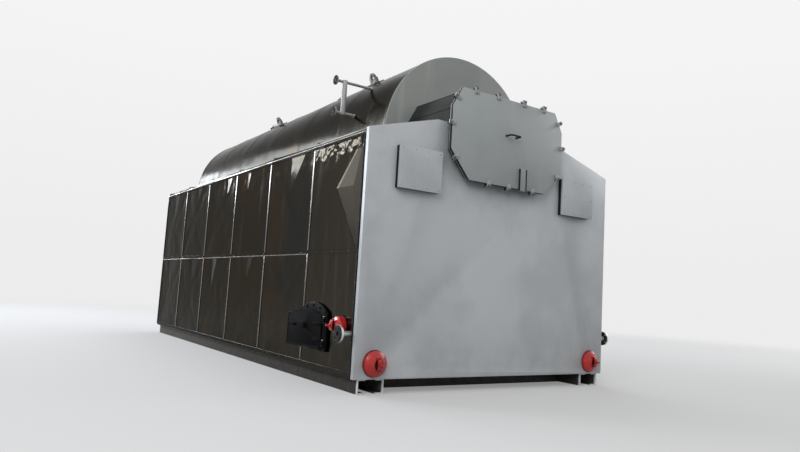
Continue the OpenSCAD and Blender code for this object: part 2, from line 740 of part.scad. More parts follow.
hinge_up = ear_t + ear_gap + knuckle_h / 2 + hinge_edge;
hinge_zs = [leaf_z0 + hinge_up, leaf_z1 - hinge_up];
module hinge_bore(d) for (z = hinge_zs)
    rod_z(z - knuckle_h, z + knuckle_h, -hinge_x, hinge_y, d);
module door_frame() difference() {
    union() {
        side_plate(half_w, door_frame_t) door_outline(0);
        for (z = hinge_zs, s = [-1, 1]) {
            z0 = s > 0 ? z + knuckle_h / 2 + ear_gap : z - knuckle_h / 2 - ear_gap - ear_t;
            box(-hinge_x, -half_w - door_frame_t + 1, hinge_y - knuckle_d / 2, hinge_y + knuckle_d / 2,
                z0, z0 + ear_t);
            rod_z(z0, z0 + ear_t, -hinge_x, hinge_y, knuckle_d);
        }
    }
    doorway_cut();
    hinge_bore(pin_d + 2 * pin_gap);
}
module door_leaf() difference() {
    root_y = hinge_y + knuckle_d / 2 + leaf_root;
    union() {
        side_plate(hinge_x - leaf_t / 2, leaf_t) arched(root_y, leaf_y1, leaf_z0, leaf_z1, leaf_arch);
        for (z = hinge_zs) {
            box(-hinge_x - leaf_t / 2, -hinge_x + leaf_t / 2, hinge_y, root_y + 1,
                z - knuckle_h / 2, z + knuckle_h / 2);
            rod_z(z - knuckle_h / 2, z + knuckle_h / 2, -hinge_x, hinge_y, knuckle_d);
        }
        rod_x(-hinge_x - leaf_t / 2 - knob_reach, -hinge_x, leaf_y1 - knob_in,
            (leaf_z0 + leaf_z1) / 2 + knob_up, knob_d);
    }
    hinge_bore(pin_d + 2 * pin_gap);
}
module turned_at_hinge(angle) translate([-hinge_x, hinge_y - y_mid, 0]) rotate([0, 0, angle])
    translate([hinge_x, y_mid - hinge_y, 0]) children();
module door_pins() for (z = hinge_zs) {
    z1 = z + knuckle_h / 2 + ear_gap + ear_t;
    rod_z(z - knuckle_h / 2 - ear_gap - ear_t, z1 + pin_head, -hinge_x, hinge_y, pin_d);
    rod_z(z1 + seat, z1 + pin_head, -hinge_x, hinge_y, pin_d + pin_head);
}
module fire_door_frame() color(iron_black) door_frame();
module fire_door_leaf() color(iron_black) turned_at_hinge(leaf_ajar) door_leaf();
module fire_door_pins() color(iron_black) door_pins();
module right_door_frame() color(iron_black) mirror([1, 0, 0]) door_frame();
module right_door_leaf() color(iron_black) mirror([1, 0, 0]) {
    door_leaf();
    door_pins();
}

// Fittings on the drum

module flange_holes(n, pcd, d, h) for (i = [0 : n - 1])
    rotate([0, 0, (i + 0.5) * 360 / n]) translate([pcd / 2, 0, -1]) cylinder(h = h + 2, d = d, $fn = 32);

module level_pipe(z) {
    rod_x(-column_reach, -drum_r * 0.5, column_y, z, level_d);
    rod_x(-column_reach, -column_reach + level_flange_t, column_y, z, level_flange_d);
}
module level_cut(z) translate([-column_reach, column_y - y_mid, z]) rotate([0, 90, 0]) {
    translate([0, 0, -1]) cylinder(h = level_flange_t + level_bore_in, d = level_bore);
    flange_holes(4, level_pcd, level_hole_d, level_flange_t);
}
module water_columns() color(pipe_grey) both_sides() difference() {
    union() {
        level_pipe(drum_z + column_hi);
        level_pipe(drum_z + column_lo);
        rod_z(drum_z + column_lo - level_d / 2, drum_z + column_hi + level_d / 2, -column_x, column_y,
            column_d);
    }
    level_cut(drum_z + column_hi);
    level_cut(drum_z + column_lo);
    drum_solid(drum_r + seat);
}
module lug() difference() {
    union() {
        translate([-lug_t / 2, -lug_l / 2, drum_r]) cube([lug_t, lug_l, lug_eye_h]);
        translate([-lug_t / 2, 0, drum_r + lug_eye_h]) rotate([0, 90, 0])
            cylinder(h = lug_t, r = lug_eye_d / 2 + lug_rim);
        translate([-lug_l / 2, -lug_l / 2 - lug_pad_over, drum_r - drum_root])
            cube([lug_l, lug_l + 2 * lug_pad_over, drum_root + lug_pad_t]);
    }
    translate([-lug_t, 0, drum_r + lug_eye_h]) rotate([0, 90, 0]) cylinder(h = 2 * lug_t, d = lug_eye_d);
    rotate([90, 0, 0]) translate([0, 0, -lug_l]) cylinder(h = 2 * lug_l, r = drum_r + seat, $fn = 180);
}
module lifting_lugs() color(iron_black) for (y = [lug_front_y, lug_rear_y], s = [-1, 1])
    translate([0, y - y_mid, drum_z]) rotate([0, s * lug_angle, 0]) lug();

module top_nozzle(y, bore, flange_d, pcd, holes, hole_d) difference() {
    z1 = drum_z + drum_r + nozzle_h;
    union() {
        rod_z(drum_z + drum_r - drum_root, z1, 0, y, bore + 2 * nozzle_wall);
        rod_z(z1 - nozzle_flange_t, z1, 0, y, flange_d);
    }
    rod_z(drum_z + drum_r - drum_root - 1, z1 + 1, 0, y, bore);
    translate([0, y - y_mid, z1 - nozzle_flange_t]) flange_holes(holes, pcd, hole_d, nozzle_flange_t);
    drum_solid(drum_r + seat);
}
module steam_outlet() color(pipe_grey)
    top_nozzle(steam_y, steam_bore, steam_flange_d, steam_pcd, 8, steam_hole_d);
module safety_nozzles() color(pipe_grey) for (k = [0, 1])
    top_nozzle(safety_y + k * safety_pitch, safety_bore, safety_flange_d, safety_pcd, 8, safety_hole_d);
module manhole() color(pipe_grey) difference() {
    lid_z = drum_z + drum_r + manhole_h - manhole_lid_t;
    union() {
        rod_z(drum_z + drum_r - drum_root, lid_z, 0, manhole_y, manhole_d - 2 * manhole_rim);
        rod_z(lid_z, lid_z + manhole_lid_t, 0, manhole_y, manhole_d);
    }
    drum_solid(drum_r + seat);
}
module flue_outlet() color(paint_grey) translate([0, drum_rear - y_mid, drum_z + flue_up])
    rotate([-90, 0, 0]) difference() {
        union() {
            cylinder(h = flue_reach, d = flue_d + 2 * flue_wall, $fn = 96);
            translate([0, 0, flue_reach - flue_flange_t])
                cylinder(h = flue_flange_t, d = flue_d + 2 * flue_flange_w, $fn = 96);
        }
        translate([0, 0, -1]) cylinder(h = flue_reach + 2, d = flue_d, $fn = 96);
        translate([0, 0, flue_reach - flue_flange_t])
            flange_holes(flue_holes, flue_d + flue_flange_w, flue_hole_d, flue_flange_t);
    }

left_skid();
right_skid();
cross_beams();
base_sill();
left_wall_front();
left_wall_rear();
left_wall_lintel();
left_wall_cill();
right_wall();
front_wall();
front_plate();
rear_wall();
shoulder_roofs();
left_upper_panels();
left_lower_panels();
right_upper_panels();
right_lower_panels();
left_column_trims();
right_column_trims();
left_rail_trims();
right_rail_trims();
drum_jacket();
drum_front_disc();
drum_rear_disc();
smoke_box_duct();
smoke_box_flange();
smoke_box_cover();
cover_clamps();
cover_handle();
cover_strap();
hatch_frames();
hatch_covers();
lower_headers();
cross_header();
hand_hole_yokes();
blowdown_nozzles();
fire_door_frame();
fire_door_leaf();
fire_door_pins();
right_door_frame();
right_door_leaf();
water_columns();
lifting_lugs();
steam_outlet();
safety_nozzles();
manhole();
flue_outlet();
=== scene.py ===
"""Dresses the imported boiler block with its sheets, seams, castings, bolts and finishes, and lights it."""

import logging
import math
import random
from dataclasses import dataclass
from enum import Enum
from typing import Callable, Iterable, Sequence

import bmesh
import bpy
from mathutils import Matrix, Vector, noise


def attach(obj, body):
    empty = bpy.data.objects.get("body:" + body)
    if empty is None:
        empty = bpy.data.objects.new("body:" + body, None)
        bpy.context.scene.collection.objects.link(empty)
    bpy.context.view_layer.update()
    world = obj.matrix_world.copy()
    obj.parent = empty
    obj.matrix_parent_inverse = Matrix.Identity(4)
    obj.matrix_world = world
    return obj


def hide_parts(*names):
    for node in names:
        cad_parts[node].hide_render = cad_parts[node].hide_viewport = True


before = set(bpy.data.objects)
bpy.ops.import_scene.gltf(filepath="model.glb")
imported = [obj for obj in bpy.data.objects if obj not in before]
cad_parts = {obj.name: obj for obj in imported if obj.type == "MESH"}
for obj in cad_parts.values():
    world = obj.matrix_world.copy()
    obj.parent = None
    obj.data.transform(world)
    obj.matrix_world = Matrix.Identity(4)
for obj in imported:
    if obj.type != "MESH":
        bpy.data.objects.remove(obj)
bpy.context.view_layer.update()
LOG = logging.getLogger("boiler")

Pair = tuple[float, float]
Point = tuple[float, float, float]
Corners = Sequence[Pair]
Trio = tuple[float, float, float]
Crease = tuple[Vector, Vector, float, float]
Colour = tuple[float, float, float, float]
Mesh = bmesh.types.BMesh
Socket = bpy.types.NodeSocket
Sockets = bpy.types.bpy_prop_collection
SIDES = {"left": -1.0, "right": 1.0}


class Body(Enum):
    """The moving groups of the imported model."""

    BOILER = "boiler"
    FIRE_DOOR = "fire_door"


class Slot(Enum):
    """The record's finish slots; each new piece is given one, which the script does not use."""

    SKID = "skid_paint"
    LINING = "wall_lining"
    SILVER = "silver_paint"
    SIDE_SHEET = "side_cladding"
    TRIM = "bright_trim"
    DRUM_SHEET = "drum_cladding"
    RED = "header_red"
    IRON = "door_iron"
    ZINC = "zinc_flange"
    LUG = "lug_paint"
    PIPE = "pipe_paint"


def tone(r: float, g: float, b: float) -> Colour:
    """An opaque linear colour."""
    return (r, g, b, 1.0)


def grey(value: float) -> Colour:
    """An opaque neutral grey."""
    return tone(value, value, value)


# What wiping marks and fingerprints leave on metal
SMUDGE = tone(0.12, 0.115, 0.105)


# Node tree writing


class Graph:
    """Writes nodes and links into one node tree."""

    def __init__(self, tree: bpy.types.NodeTree) -> None:
        """Keeps the tree that the nodes go into."""
        self.tree = tree

    def feed(self, target: bpy.types.Node, inputs: dict) -> None:
        """Gives inputs of a node a value each.

        Args:
            target: The node.
            inputs: An output socket or a plain value for each named or numbered input.
        """
        for key, value in inputs.items():
            if isinstance(value, Socket):
                self.tree.links.new(value, target.inputs[key])
            else:
                target.inputs[key].default_value = value

    def node(self, kind: str, inputs: dict | None = None, **settings: object) -> bpy.types.Node:
        """Adds a node.

        Args:
            kind: Blender's name of the node type.
            inputs: A value or an output socket for each named or numbered input.
            **settings: Attributes of the node itself.

        Returns:
            The new node.
        """
        made = self.tree.nodes.new(kind)
        for key, value in settings.items():
            setattr(made, key, value)
        self.feed(made, inputs or {})
        return made

    def maths(self, operation: str, a: object, b: object = 0.0, clamp: bool = False) -> Socket:
        """Adds a Math node and returns its output."""
        return self.node("ShaderNodeMath", {0: a, 1: b}, operation=operation, use_clamp=clamp).outputs[0]

    def times(self, a: object, b: object, clamp: bool = False) -> Socket:
        """The product of two values."""
        return self.maths("MULTIPLY", a, b, clamp)

    def plus(self, a: object, b: object, clamp: bool = False) -> Socket:
        """The sum of two values."""
        return self.maths("ADD", a, b, clamp)

    def minus(self, a: object, b: object, clamp: bool = False) -> Socket:
        """The first value less the second."""
        return self.maths("SUBTRACT", a, b, clamp)

    def lift(self, value: object, mask: object, share: object) -> Socket:
        """A value raised by a share of a mask."""
        return self.plus(value, self.times(mask, share))

    def split(self, vector: object) -> Sockets:
        """The X, Y and Z of a vector."""
        return self.node("ShaderNodeSeparateXYZ", {0: vector}).outputs

    def blend(self, mask: object, low: object, high: object) -> Socket:
        """Two colours mixed by a mask."""
        return self.node("ShaderNodeMix", {0: mask, 6: low, 7: high}, data_type="RGBA").outputs[2]

    def stain(self, colour: object, mask: object, share: float, tint: Colour) -> Socket:
        """A colour with a tint laid over it by a share of a mask."""
        return self.blend(self.times(mask, share), colour, tint)

    def spread(self, value: object, low: object, high: object, out_low: float = 0.0, out_high: float = 1.0) -> Socket:
        """A value mapped from one range to another and held at the ends."""
        return self.node("ShaderNodeMapRange", {0: value, 1: low, 2: high, 3: out_low, 4: out_high}).outputs[0]

    def fade(self, value: object, low: object, high: object) -> Socket:
        """A soft run from 0 to 1 as a value goes from low to high."""
        return self.node("ShaderNodeMapRange", {0: value, 1: low, 2: high}, interpolation_type="SMOOTHSTEP").outputs[0]

    def clouds(self, place: object, scale: object, detail: object, **more: float) -> Socket:
        """The grey value of a noise texture; more sets its other inputs."""
        inputs = {"Vector": place, "Scale": scale, "Detail": detail, **more}
        return self.node("ShaderNodeTexNoise", inputs).outputs["Fac"]


def shader_group(name: str, result: str, fill: Callable[[Graph, Sockets], Socket],
                 **inputs: float) -> bpy.types.NodeTree:
    """Makes a shader node group that reads a vector and plain values and puts out one value.

    Args:
        name: The group's name.
        result: Name of its output.
        fill: Writes the nodes from the group's inputs on and returns the value to put out.
        **inputs: Default of each plain value.

    Returns:
        The group's node tree.
    """
    tree = bpy.data.node_groups.new(name, "ShaderNodeTree")
    tree.interface.new_socket(name="Vector", in_out="INPUT", socket_type="NodeSocketVector")
    for label, value in inputs.items():
        tree.interface.new_socket(name=label, in_out="INPUT", socket_type="NodeSocketFloat").default_value = value
    tree.interface.new_socket(name=result, in_out="OUTPUT", socket_type="NodeSocketFloat")
    g = Graph(tree)
    g.node("NodeGroupOutput", {result: fill(g, g.node("NodeGroupInput").outputs)})
    return tree


@dataclass(frozen=True)
class FoldShape:
    """Folds under the sheets' top edges, as bump; lengths in metres, slopes as rise over run, pairs as ranges.

    Most sheets have one V-shaped fold. The front sheet of the upper tier has a curled, pleated edge and a kite-shaped
    raised facet instead.
    """

    apex: Pair = (0.34, 0.74)
    reach: Pair = (0.20, 0.46)
    slope_before: Pair = (-0.9, -2.4)
    slope_after: Pair = (1.9, 0.7)
    strongest_bay: float = 1.0
    fades_over: float = 2.2
    weakest: float = 0.3
    depth: float = 0.55
    crumple_scale: float = 5.0
    crumple: Pair = (0.3, 0.7)
    ragged: Pair = (-0.025, 0.015)
    curl_slope: Pair = (0.72, 0.88)
    pleats: float = 6.0
    pleat_drift: float = 1.5
    pleat_flank: float = 3.0
    pleat_onset: float = 25.0
    pleat_depth: float = 0.1
    kite_drop: float = 0.46
    kite_edges: Pair = (-1.03, 0.72)
    kite_along: Pair = (0.12, 0.59)
    kite_flank: float = 2.0
    kite_height: float = 0.77

    def height(self, g: Graph, given: Sockets) -> Socket:
        """Writes the height of every sheet's folds.

        Args:
            g: The group's graph.
            given: The group's inputs.

        Returns:
            The height, above the sheet or below it.
        """
        split = g.split(given["Vector"])
        bays = g.maths("DIVIDE", g.minus(split["Y"], given["Joint"]), given["Pitch"])
        bay = g.maths("FLOOR", bays)
        along = g.times(g.minus(bays, bay), given["Pitch"])
        upper = g.maths("GREATER_THAN", split["Z"], given["Rail"])
        rise = g.times(upper, g.minus(given["Eave"], given["Rail"]))
        drop = g.minus(g.plus(given["Rail"], rise), split["Z"])
        sheet = g.node("ShaderNodeCombineXYZ", {0: bay, 1: upper, 2: g.maths("SIGN", split["X"])}).outputs[0]
        front = g.times(g.spread(bay, -1.0, 0.0, 1.0, 0.0), upper)
        away = g.maths("ABSOLUTE", g.minus(bay, self.strongest_bay))
        strong = g.minus(g.spread(away, 0.0, self.fades_over, 1.0, self.weakest), front, clamp=True)
        fold = g.times(self.v_fold(g, sheet, along, drop), strong)
        return g.minus(g.times(front, self.front_sheet(g, given, along, drop)), g.times(fold, self.depth))

    def v_fold(self, g: Graph, sheet: object, along: object, drop: object) -> Socket:
        """Writes the V-shaped fold.

        Args:
            g: The group's graph.
            sheet: The sheet's own place, which sets its dice.
            along: Distance from the sheet's front joint.
            drop: Distance below its top edge.

        Returns:
            How far a point lies inside the V.
        """
        colour = g.node("ShaderNodeTexWhiteNoise", {"Vector": sheet}, noise_dimensions="3D").outputs["Color"]
        dice = g.node("ShaderNodeSeparateColor", {0: colour}).outputs
        off = g.minus(along, g.spread(dice[0], 0.0, 1.0, *self.apex))
        before = g.times(off, g.spread(dice[2], 0.0, 1.0, *self.slope_before))
        after = g.times(off, g.spread(dice[2], 0.0, 1.0, *self.slope_after))
        left = g.minus(g.spread(dice[1], 0.0, 1.0, *self.reach), drop)
        return g.maths("MAXIMUM", g.minus(left, g.maths("MAXIMUM", before, after)), 0.0)

    def front_sheet(self, g: Graph, given: Sockets, along: object, drop: object) -> Socket:
        """Writes the front sheet's curled edge, pleats and facet.

        Args:
            g: The group's graph.
            given: The group's inputs.
            along: Distance from the sheet's front joint.
            drop: Distance below its top edge.

        Returns:
            The height.
        """
        crumple = g.clouds(given["Vector"], self.crumple_scale, 2.0, Distortion=0.3)
        ragged = g.plus(given["Curl"], g.spread(crumple, *self.crumple, *self.ragged))
        curl = g.maths("MAXIMUM", g.minus(ragged, drop), 0.0)
        turn = g.maths("FRACT", g.plus(g.times(along, self.pleats), g.times(crumple, self.pleat_drift)))
        pleat = g.maths("MINIMUM", turn, g.times(g.minus(1.0, turn), self.pleat_flank))
        pleat = g.times(pleat, g.times(g.times(curl, self.pleat_onset, clamp=True), self.pleat_depth))
        low = g.minus(drop, self.kite_drop)
        edge = g.maths("MAXIMUM", g.times(low, self.kite_edges[0]), g.times(low, self.kite_edges[1]))
        facet = g.minus(g.minus(self.kite_along[1], edge), along)
        facet = g.maths("MINIMUM", facet, g.times(g.minus(along, self.kite_along[0]), self.kite_flank))
        raised = g.minus(g.times(g.maths("MAXIMUM", facet, 0.0), self.kite_height), pleat)
        return g.minus(raised, g.times(curl, g.spread(crumple, *self.crumple, *self.curl_slope)))


class Effects:
    """The surface effects that several finishes share, as node groups built once."""

    def __init__(self) -> None:
        """Builds every group."""
        self.patches = shader_group("cloudy_patches", "Mask", self._patches, Scale=2.0, Detail=3.0, From=0.4, To=0.6)
        self.waves = shader_group("sheet_waves", "Height", self._waves, Long=3.0, Short=12.0, Share=0.25)
        self.grime = shader_group("low_grime", "Mask", self._grime, Bottom=0.1, Top=0.6, Scale=6.0)
        self.streaks = shader_group("hanging_streaks", "Mask", self._streaks, Width=14.0, Length=0.6, From=0.5,
                                    To=0.75)
        self.folds = shader_group("sheet_folds", "Height", FoldShape().height, Joint=0.0, Pitch=1.0, Rail=1.2,
                                  Eave=2.24, Curl=0.155)
        self.chips = shader_group("paint_chips", "Mask", self._chips, Scale=40.0, Cover=0.68)

    @staticmethod
    def _patches(g: Graph, given: Sockets) -> Socket:
        """Soft clouds between two thresholds of a noise."""
        clouds = g.clouds(given["Vector"], given["Scale"], given["Detail"], Roughness=0.55)
        return g.fade(clouds, given["From"], given["To"])

    @staticmethod
    def _waves(g: Graph, given: Sockets) -> Socket:
        """Long buckles with shorter ripples on them."""
        long = g.clouds(given["Vector"], given["Long"], 1.0, Distortion=0.6)
        return g.lift(long, g.clouds(given["Vector"], given["Short"], 2.0), given["Share"])

    @staticmethod
    def _grime(g: Graph, given: Sockets) -> Socket:
        """Dust that thickens towards the ground, broken up by a noise.

        Args:
            g: The group's graph.
            given: The group's inputs.

        Returns:
            The mask.
        """
        low = g.spread(g.split(given["Vector"])["Z"], given["Top"], given["Bottom"])
        speck = g.clouds(given["Vector"], given["Scale"], 6.0, Roughness=0.65)
        return g.times(low, g.spread(speck, 0.35, 0.7, 0.25, 1.0))

    @staticmethod
    def _streaks(g: Graph, given: Sockets) -> Socket:
        """Long upright streaks, as water and wiping leave them.

        Args:
            g: The group's graph.
            given: The group's inputs.

        Returns:
            The mask.
        """
        squash = g.node("ShaderNodeCombineXYZ", {0: given["Width"], 1: given["Width"], 2: given["Length"]}).outputs[0]
        drawn = g.node("ShaderNodeVectorMath", {0: given["Vector"], 1: squash}, operation="MULTIPLY").outputs[0]
        return g.fade(g.clouds(drawn, 1.0, 3.0, Distortion=0.3), given["From"], given["To"])

    @staticmethod
    def _chips(g: Graph, given: Sockets) -> Socket:
        """Small sharp chips, grouped by a wider noise.

        Args:
            g: The group's graph.
            given: The group's inputs.

        Returns:
            The mask.
        """
        fine = g.clouds(given["Vector"], given["Scale"], 4.0, Roughness=0.7)
        both = g.lift(fine, g.clouds(given["Vector"], 5.0, 1.0), 0.35)
        return g.maths("GREATER_THAN", both, g.plus(given["Cover"], 0.17))


class Finish:
    """A procedural finish; each kind writes its own nodes."""

    effects: Effects
    name: str

    def build(self) -> bpy.types.Material:
        """Makes the material.

        Returns:
            A material whose nodes this finish wrote.
        """
        made = bpy.data.materials.new(self.name)
        made.use_nodes = True
        made.node_tree.nodes.clear()
        g = Graph(made.node_tree)
        shader = g.node("ShaderNodeBsdfPrincipled")
        g.node("ShaderNodeOutputMaterial", {0: shader.outputs[0]})
        self.write(g, shader, g.node("ShaderNodeTexCoord").outputs["Object"])
        return made

    def write(self, g: Graph, shader: bpy.types.Node, place: Socket) -> None:
        """Writes the nodes that feed the shader; each kind of finish has its own."""
        raise NotImplementedError

    def effect(self, g: Graph, tree: bpy.types.NodeTree, place: Socket, **values: float) -> Socket:
        """Places a shared effect, reading place, with its other inputs by name; returns its output."""
        return g.node("ShaderNodeGroup", {"Vector": place, **values}, node_tree=tree).outputs[0]

    def bump(self, g: Graph, shader: bpy.types.Node, height: object, distance: float) -> None:
        """Feeds a height in metres times distance to the shader's normal."""
        made = g.node("ShaderNodeBump", {"Height": height, "Distance": distance, "Strength": 1.0})
        g.feed(shader, {"Normal": made.outputs[0]})


@dataclass(frozen=True)
class PolishedSheet(Finish):
    """Thin polished sheet with buckles, painted warm and cool reflections, wiping marks and dust."""

    name: str
    base: Colour
    warm_reflection: Colour
    cool_reflection: Colour
    roughness: float
    buckle: float
    fold: float = 0.0
    edge_tint: float = 0.43
    ripple_scale: float = 9.0
    reflection_share: float = 0.6
    wipe_share: float = 0.16
    dust_tone: Colour = tone(0.10, 0.09, 0.075)
    dust_share: float = 0.3
    wipe_dulls: float = 0.07
    dust_dulls: float = 0.2
    fold_dulls: float = 0.38
    fold_onset: float = 30.0

    def write(self, g: Graph, shader: bpy.types.Node, place: Socket) -> None:
        """Painted warm and cool reflections, wiping marks, dust, buckles and, where the sheet has them, folds.

        Args:
            g: The material's graph.
            shader: The node to feed.
            place: Object coordinates.
        """
        fx = self.effects
        # The warm and cool patches in the base colour are painted reflections of brown and grey-green surroundings.
        warm_reflection = self.effect(g, fx.patches, place, Scale=1.1, Detail=2.0, From=0.53, To=0.72)
        cool_reflection = self.effect(g, fx.patches, place, Scale=0.8, Detail=2.0, From=0.54, To=0.7)
        wipe = self.effect(g, fx.streaks, place, Width=9.0, Length=0.9, From=0.55, To=0.72)
        dust = self.effect(g, fx.grime, place, Bottom=0.1, Top=0.9, Scale=7.0)
        colour = g.stain(self.base, warm_reflection, self.reflection_share, self.warm_reflection)
        colour = g.stain(colour, cool_reflection, self.reflection_share, self.cool_reflection)
        colour = g.stain(colour, wipe, self.wipe_share, SMUDGE)
        colour = g.stain(colour, dust, self.dust_share, self.dust_tone)
        gloss = g.lift(g.lift(self.roughness, wipe, self.wipe_dulls), dust, self.dust_dulls)
        waves = self.effect(g, fx.waves, place, Long=1.6, Short=self.ripple_scale, Share=0.16)
        height = g.times(waves, self.buckle)
        if self.fold > 0:
            folds = self.effect(g, fx.folds, place, Joint=at(SHEET_JOINT), Pitch=SHEET_PITCH, Rail=RAIL_Z,
                                Eave=EAVE_Z)
            height = g.lift(height, folds, self.fold)
            gloss = g.lift(gloss, g.times(folds, self.fold_onset, clamp=True), self.fold_dulls)
        g.feed(shader, {"Base Color": colour, "Metallic": 1.0, "Specular Tint": grey(self.edge_tint),
                        "Roughness": gloss})
        self.bump(g, shader, height, 1.0)


@dataclass(frozen=True)
class SilverPaint(Finish):
    """Sprayed silver-grey paint, semi-matt, with soft mottling whose darker patches are partly painted shade, and faint
    wipe marks.
    """

    name: str
    base: Colour
    shade: Colour
    roughness: float = 0.40
    metallic: float = 0.15
    wiped: Colour = tone(0.52, 0.53, 0.53)
    shine: float = 0.5
    mottle_share: float = 0.6
    wipe_share: float = 0.16
    dust_tone: Colour = tone(0.23, 0.21, 0.18)
    dust_share: float = 0.25
    mottle_dulls: float = 0.1
    dust_dulls: float = 0.2
    grain_scale: float = 160.0
    grain_share: float = 0.02
    swell: float = 0.006

    def write(self, g: Graph, shader: bpy.types.Node, place: Socket) -> None:
        """Mottling, partly painted shade, streaks, ground dust and a fine spray grain.

        Args:
            g: The material's graph.
            shader: The node to feed.
            place: Object coordinates.
        """
        fx = self.effects
        mottle = self.effect(g, fx.patches, place, Scale=1.6, Detail=4.0, From=0.38, To=0.66)
        wipe = self.effect(g, fx.streaks, place, Width=7.0, Length=0.7, From=0.52, To=0.75)
        dust = self.effect(g, fx.grime, place, Bottom=0.08, Top=0.7, Scale=9.0)
        # The darker patches lie at random; on the front plate they are deepened as painted soft shade.
        colour = g.stain(self.base, mottle, self.mottle_share, self.shade)
        colour = g.stain(colour, wipe, self.wipe_share, self.wiped)
        colour = g.stain(colour, dust, self.dust_share, self.dust_tone)
        gloss = g.lift(g.lift(self.roughness, mottle, self.mottle_dulls), dust, self.dust_dulls)
        g.feed(shader, {"Base Color": colour, "Metallic": self.metallic, "Specular IOR Level": self.shine,
                        "Roughness": gloss})
        swell = self.effect(g, fx.waves, place, Long=1.7, Short=5.0, Share=0.2)
        self.bump(g, shader, g.lift(swell, g.clouds(place, self.grain_scale, 2.0), self.grain_share), self.swell)


@dataclass(frozen=True)
class BrightStrip(Finish):
    """Polished trim strip with ripples and fingerprints."""

    name: str
    base: Colour
    roughness: float = 0.24
    smudge_share: float = 0.8
    dust_tone: Colour = tone(0.2, 0.18, 0.15)
    dust_share: float = 0.4
    smudge_dulls: float = 0.2
    ripple: float = 0.004

    def write(self, g: Graph, shader: bpy.types.Node, place: Socket) -> None:
        """Smudges, dust and ripples.

        Args:
            g: The material's graph.
            shader: The node to feed.
            place: Object coordinates.
        """
        fx = self.effects
        smudge = self.effect(g, fx.patches, place, Scale=2.4, Detail=4.0, From=0.40, To=0.62)
        dust = self.effect(g, fx.grime, place, Bottom=0.1, Top=0.7, Scale=12.0)
        colour = g.stain(self.base, smudge, self.smudge_share, SMUDGE)
        colour = g.stain(colour, dust, self.dust_share, self.dust_tone)
        g.feed(shader, {"Base Color": colour, "Metallic": 1.0,
                        "Roughness": g.lift(self.roughness, smudge, self.smudge_dulls)})
        self.bump(g, shader, self.effect(g, fx.waves, place, Long=4.0, Short=18.0, Share=0.15), self.ripple)


@dataclass(frozen=True)
class GlossPaint(Finish):
    """Brushed-on gloss paint over rough metal, with uneven colour and small chips."""

    name: str
    base: Colour
    deep: Colour
    bare: Colour
    roughness: float = 0.2
    cover: float = 0.7
    cloud_share: float = 0.6
    cloud_dulls: float = 0.12
    chip_dulls: float = 0.4
    coat: float = 0.2
    coat_roughness: float = 0.12
    brush_scale: float = 55.0
    brush_depth: float = 0.0009

    def write(self, g: Graph, shader: bpy.types.Node, place: Socket) -> None:
        """Uneven colour, chips and brush marks.

        Args:
            g: The material's graph.
            shader: The node to feed.
            place: Object coordinates.
        """
        fx = self.effects
        cloud = self.effect(g, fx.patches, place, Scale=11.0, Detail=3.0, From=0.4, To=0.65)
        chip = self.effect(g, fx.chips, place, Scale=70.0, Cover=self.cover)
        colour = g.blend(chip, g.stain(self.base, cloud, self.cloud_share, self.deep), self.bare)
        gloss = g.lift(g.lift(self.roughness, cloud, self.cloud_dulls), chip, self.chip_dulls)
        g.feed(shader, {"Base Color": colour, "Roughness": gloss, "Coat Weight": self.coat,
                        "Coat Roughness": self.coat_roughness})
        self.bump(g, shader, g.clouds(place, self.brush_scale, 2.0), self.brush_depth)


@dataclass(frozen=True)
class RoughMetal(Finish):
    """Cast, rolled or zinc-dipped metal with grain, dust and rust."""

    name: str
    base: Colour
    rust: Colour
    roughness: float
    metallic: float
    grain: float
    rust_from: float = 0.56
    dust_top: float = 0.5
    shine: float = 0.5
    rust_edge: float = 0.16
    rust_share: float = 0.75
    dust_tone: Colour = tone(0.16, 0.14, 0.115)
    dust_share: float = 0.35
    rust_dulls: float = 0.25
    grain_scale: float = 130.0

    def write(self, g: Graph, shader: bpy.types.Node, place: Socket) -> None:
        """Rust clouds, ground dust and a casting grain.

        Args:
            g: The material's graph.
            shader: The node to feed.
            place: Object coordinates.
        """
        fx = self.effects
        rust = self.effect(g, fx.patches, place, Scale=7.0, Detail=7.0, From=self.rust_from,
                           To=self.rust_from + self.rust_edge)
        dust = self.effect(g, fx.grime, place, Bottom=0.0, Top=self.dust_top, Scale=14.0)
        colour = g.stain(self.base, rust, self.rust_share, self.rust)
        colour = g.stain(colour, dust, self.dust_share, self.dust_tone)
        g.feed(shader, {"Base Color": colour, "Specular IOR Level": self.shine,
                        "Metallic": g.times(g.minus(1.0, rust, clamp=True), self.metallic),
                        "Roughness": g.plus(self.roughness, g.times(rust, self.rust_dulls), clamp=True)})
        self.bump(g, shader, g.clouds(place, self.grain_scale, 5.0, Roughness=0.65), self.grain)


@dataclass(frozen=True)
class OversprayedSteel(RoughMetal):
    """Black primed steel whose front end caught the spray of the front plate's paint."""

    spray: Colour = tone(0.66, 0.68, 0.70)
    spray_y: Pair = (-3.362, -3.345)
    speck_scale: float = 60.0
    speck_reach: float = 0.012

    def write(self, g: Graph, shader: bpy.types.Node, place: Socket) -> None:
        """Writes the steel and lays the spray over its front end.

        Args:
            g: The material's graph.
            shader: The node to feed.
            place: Object coordinates.
        """
        super().write(g, shader, place)
        ragged = g.lift(g.split(place)["Y"], g.clouds(place, self.speck_scale, 3.0), self.speck_reach)
        mask = g.spread(ragged, self.spray_y[1], self.spray_y[0])
        steel = shader.inputs["Base Color"].links[0].from_socket
        g.feed(shader, {"Base Color": g.blend(mask, steel, self.spray)})


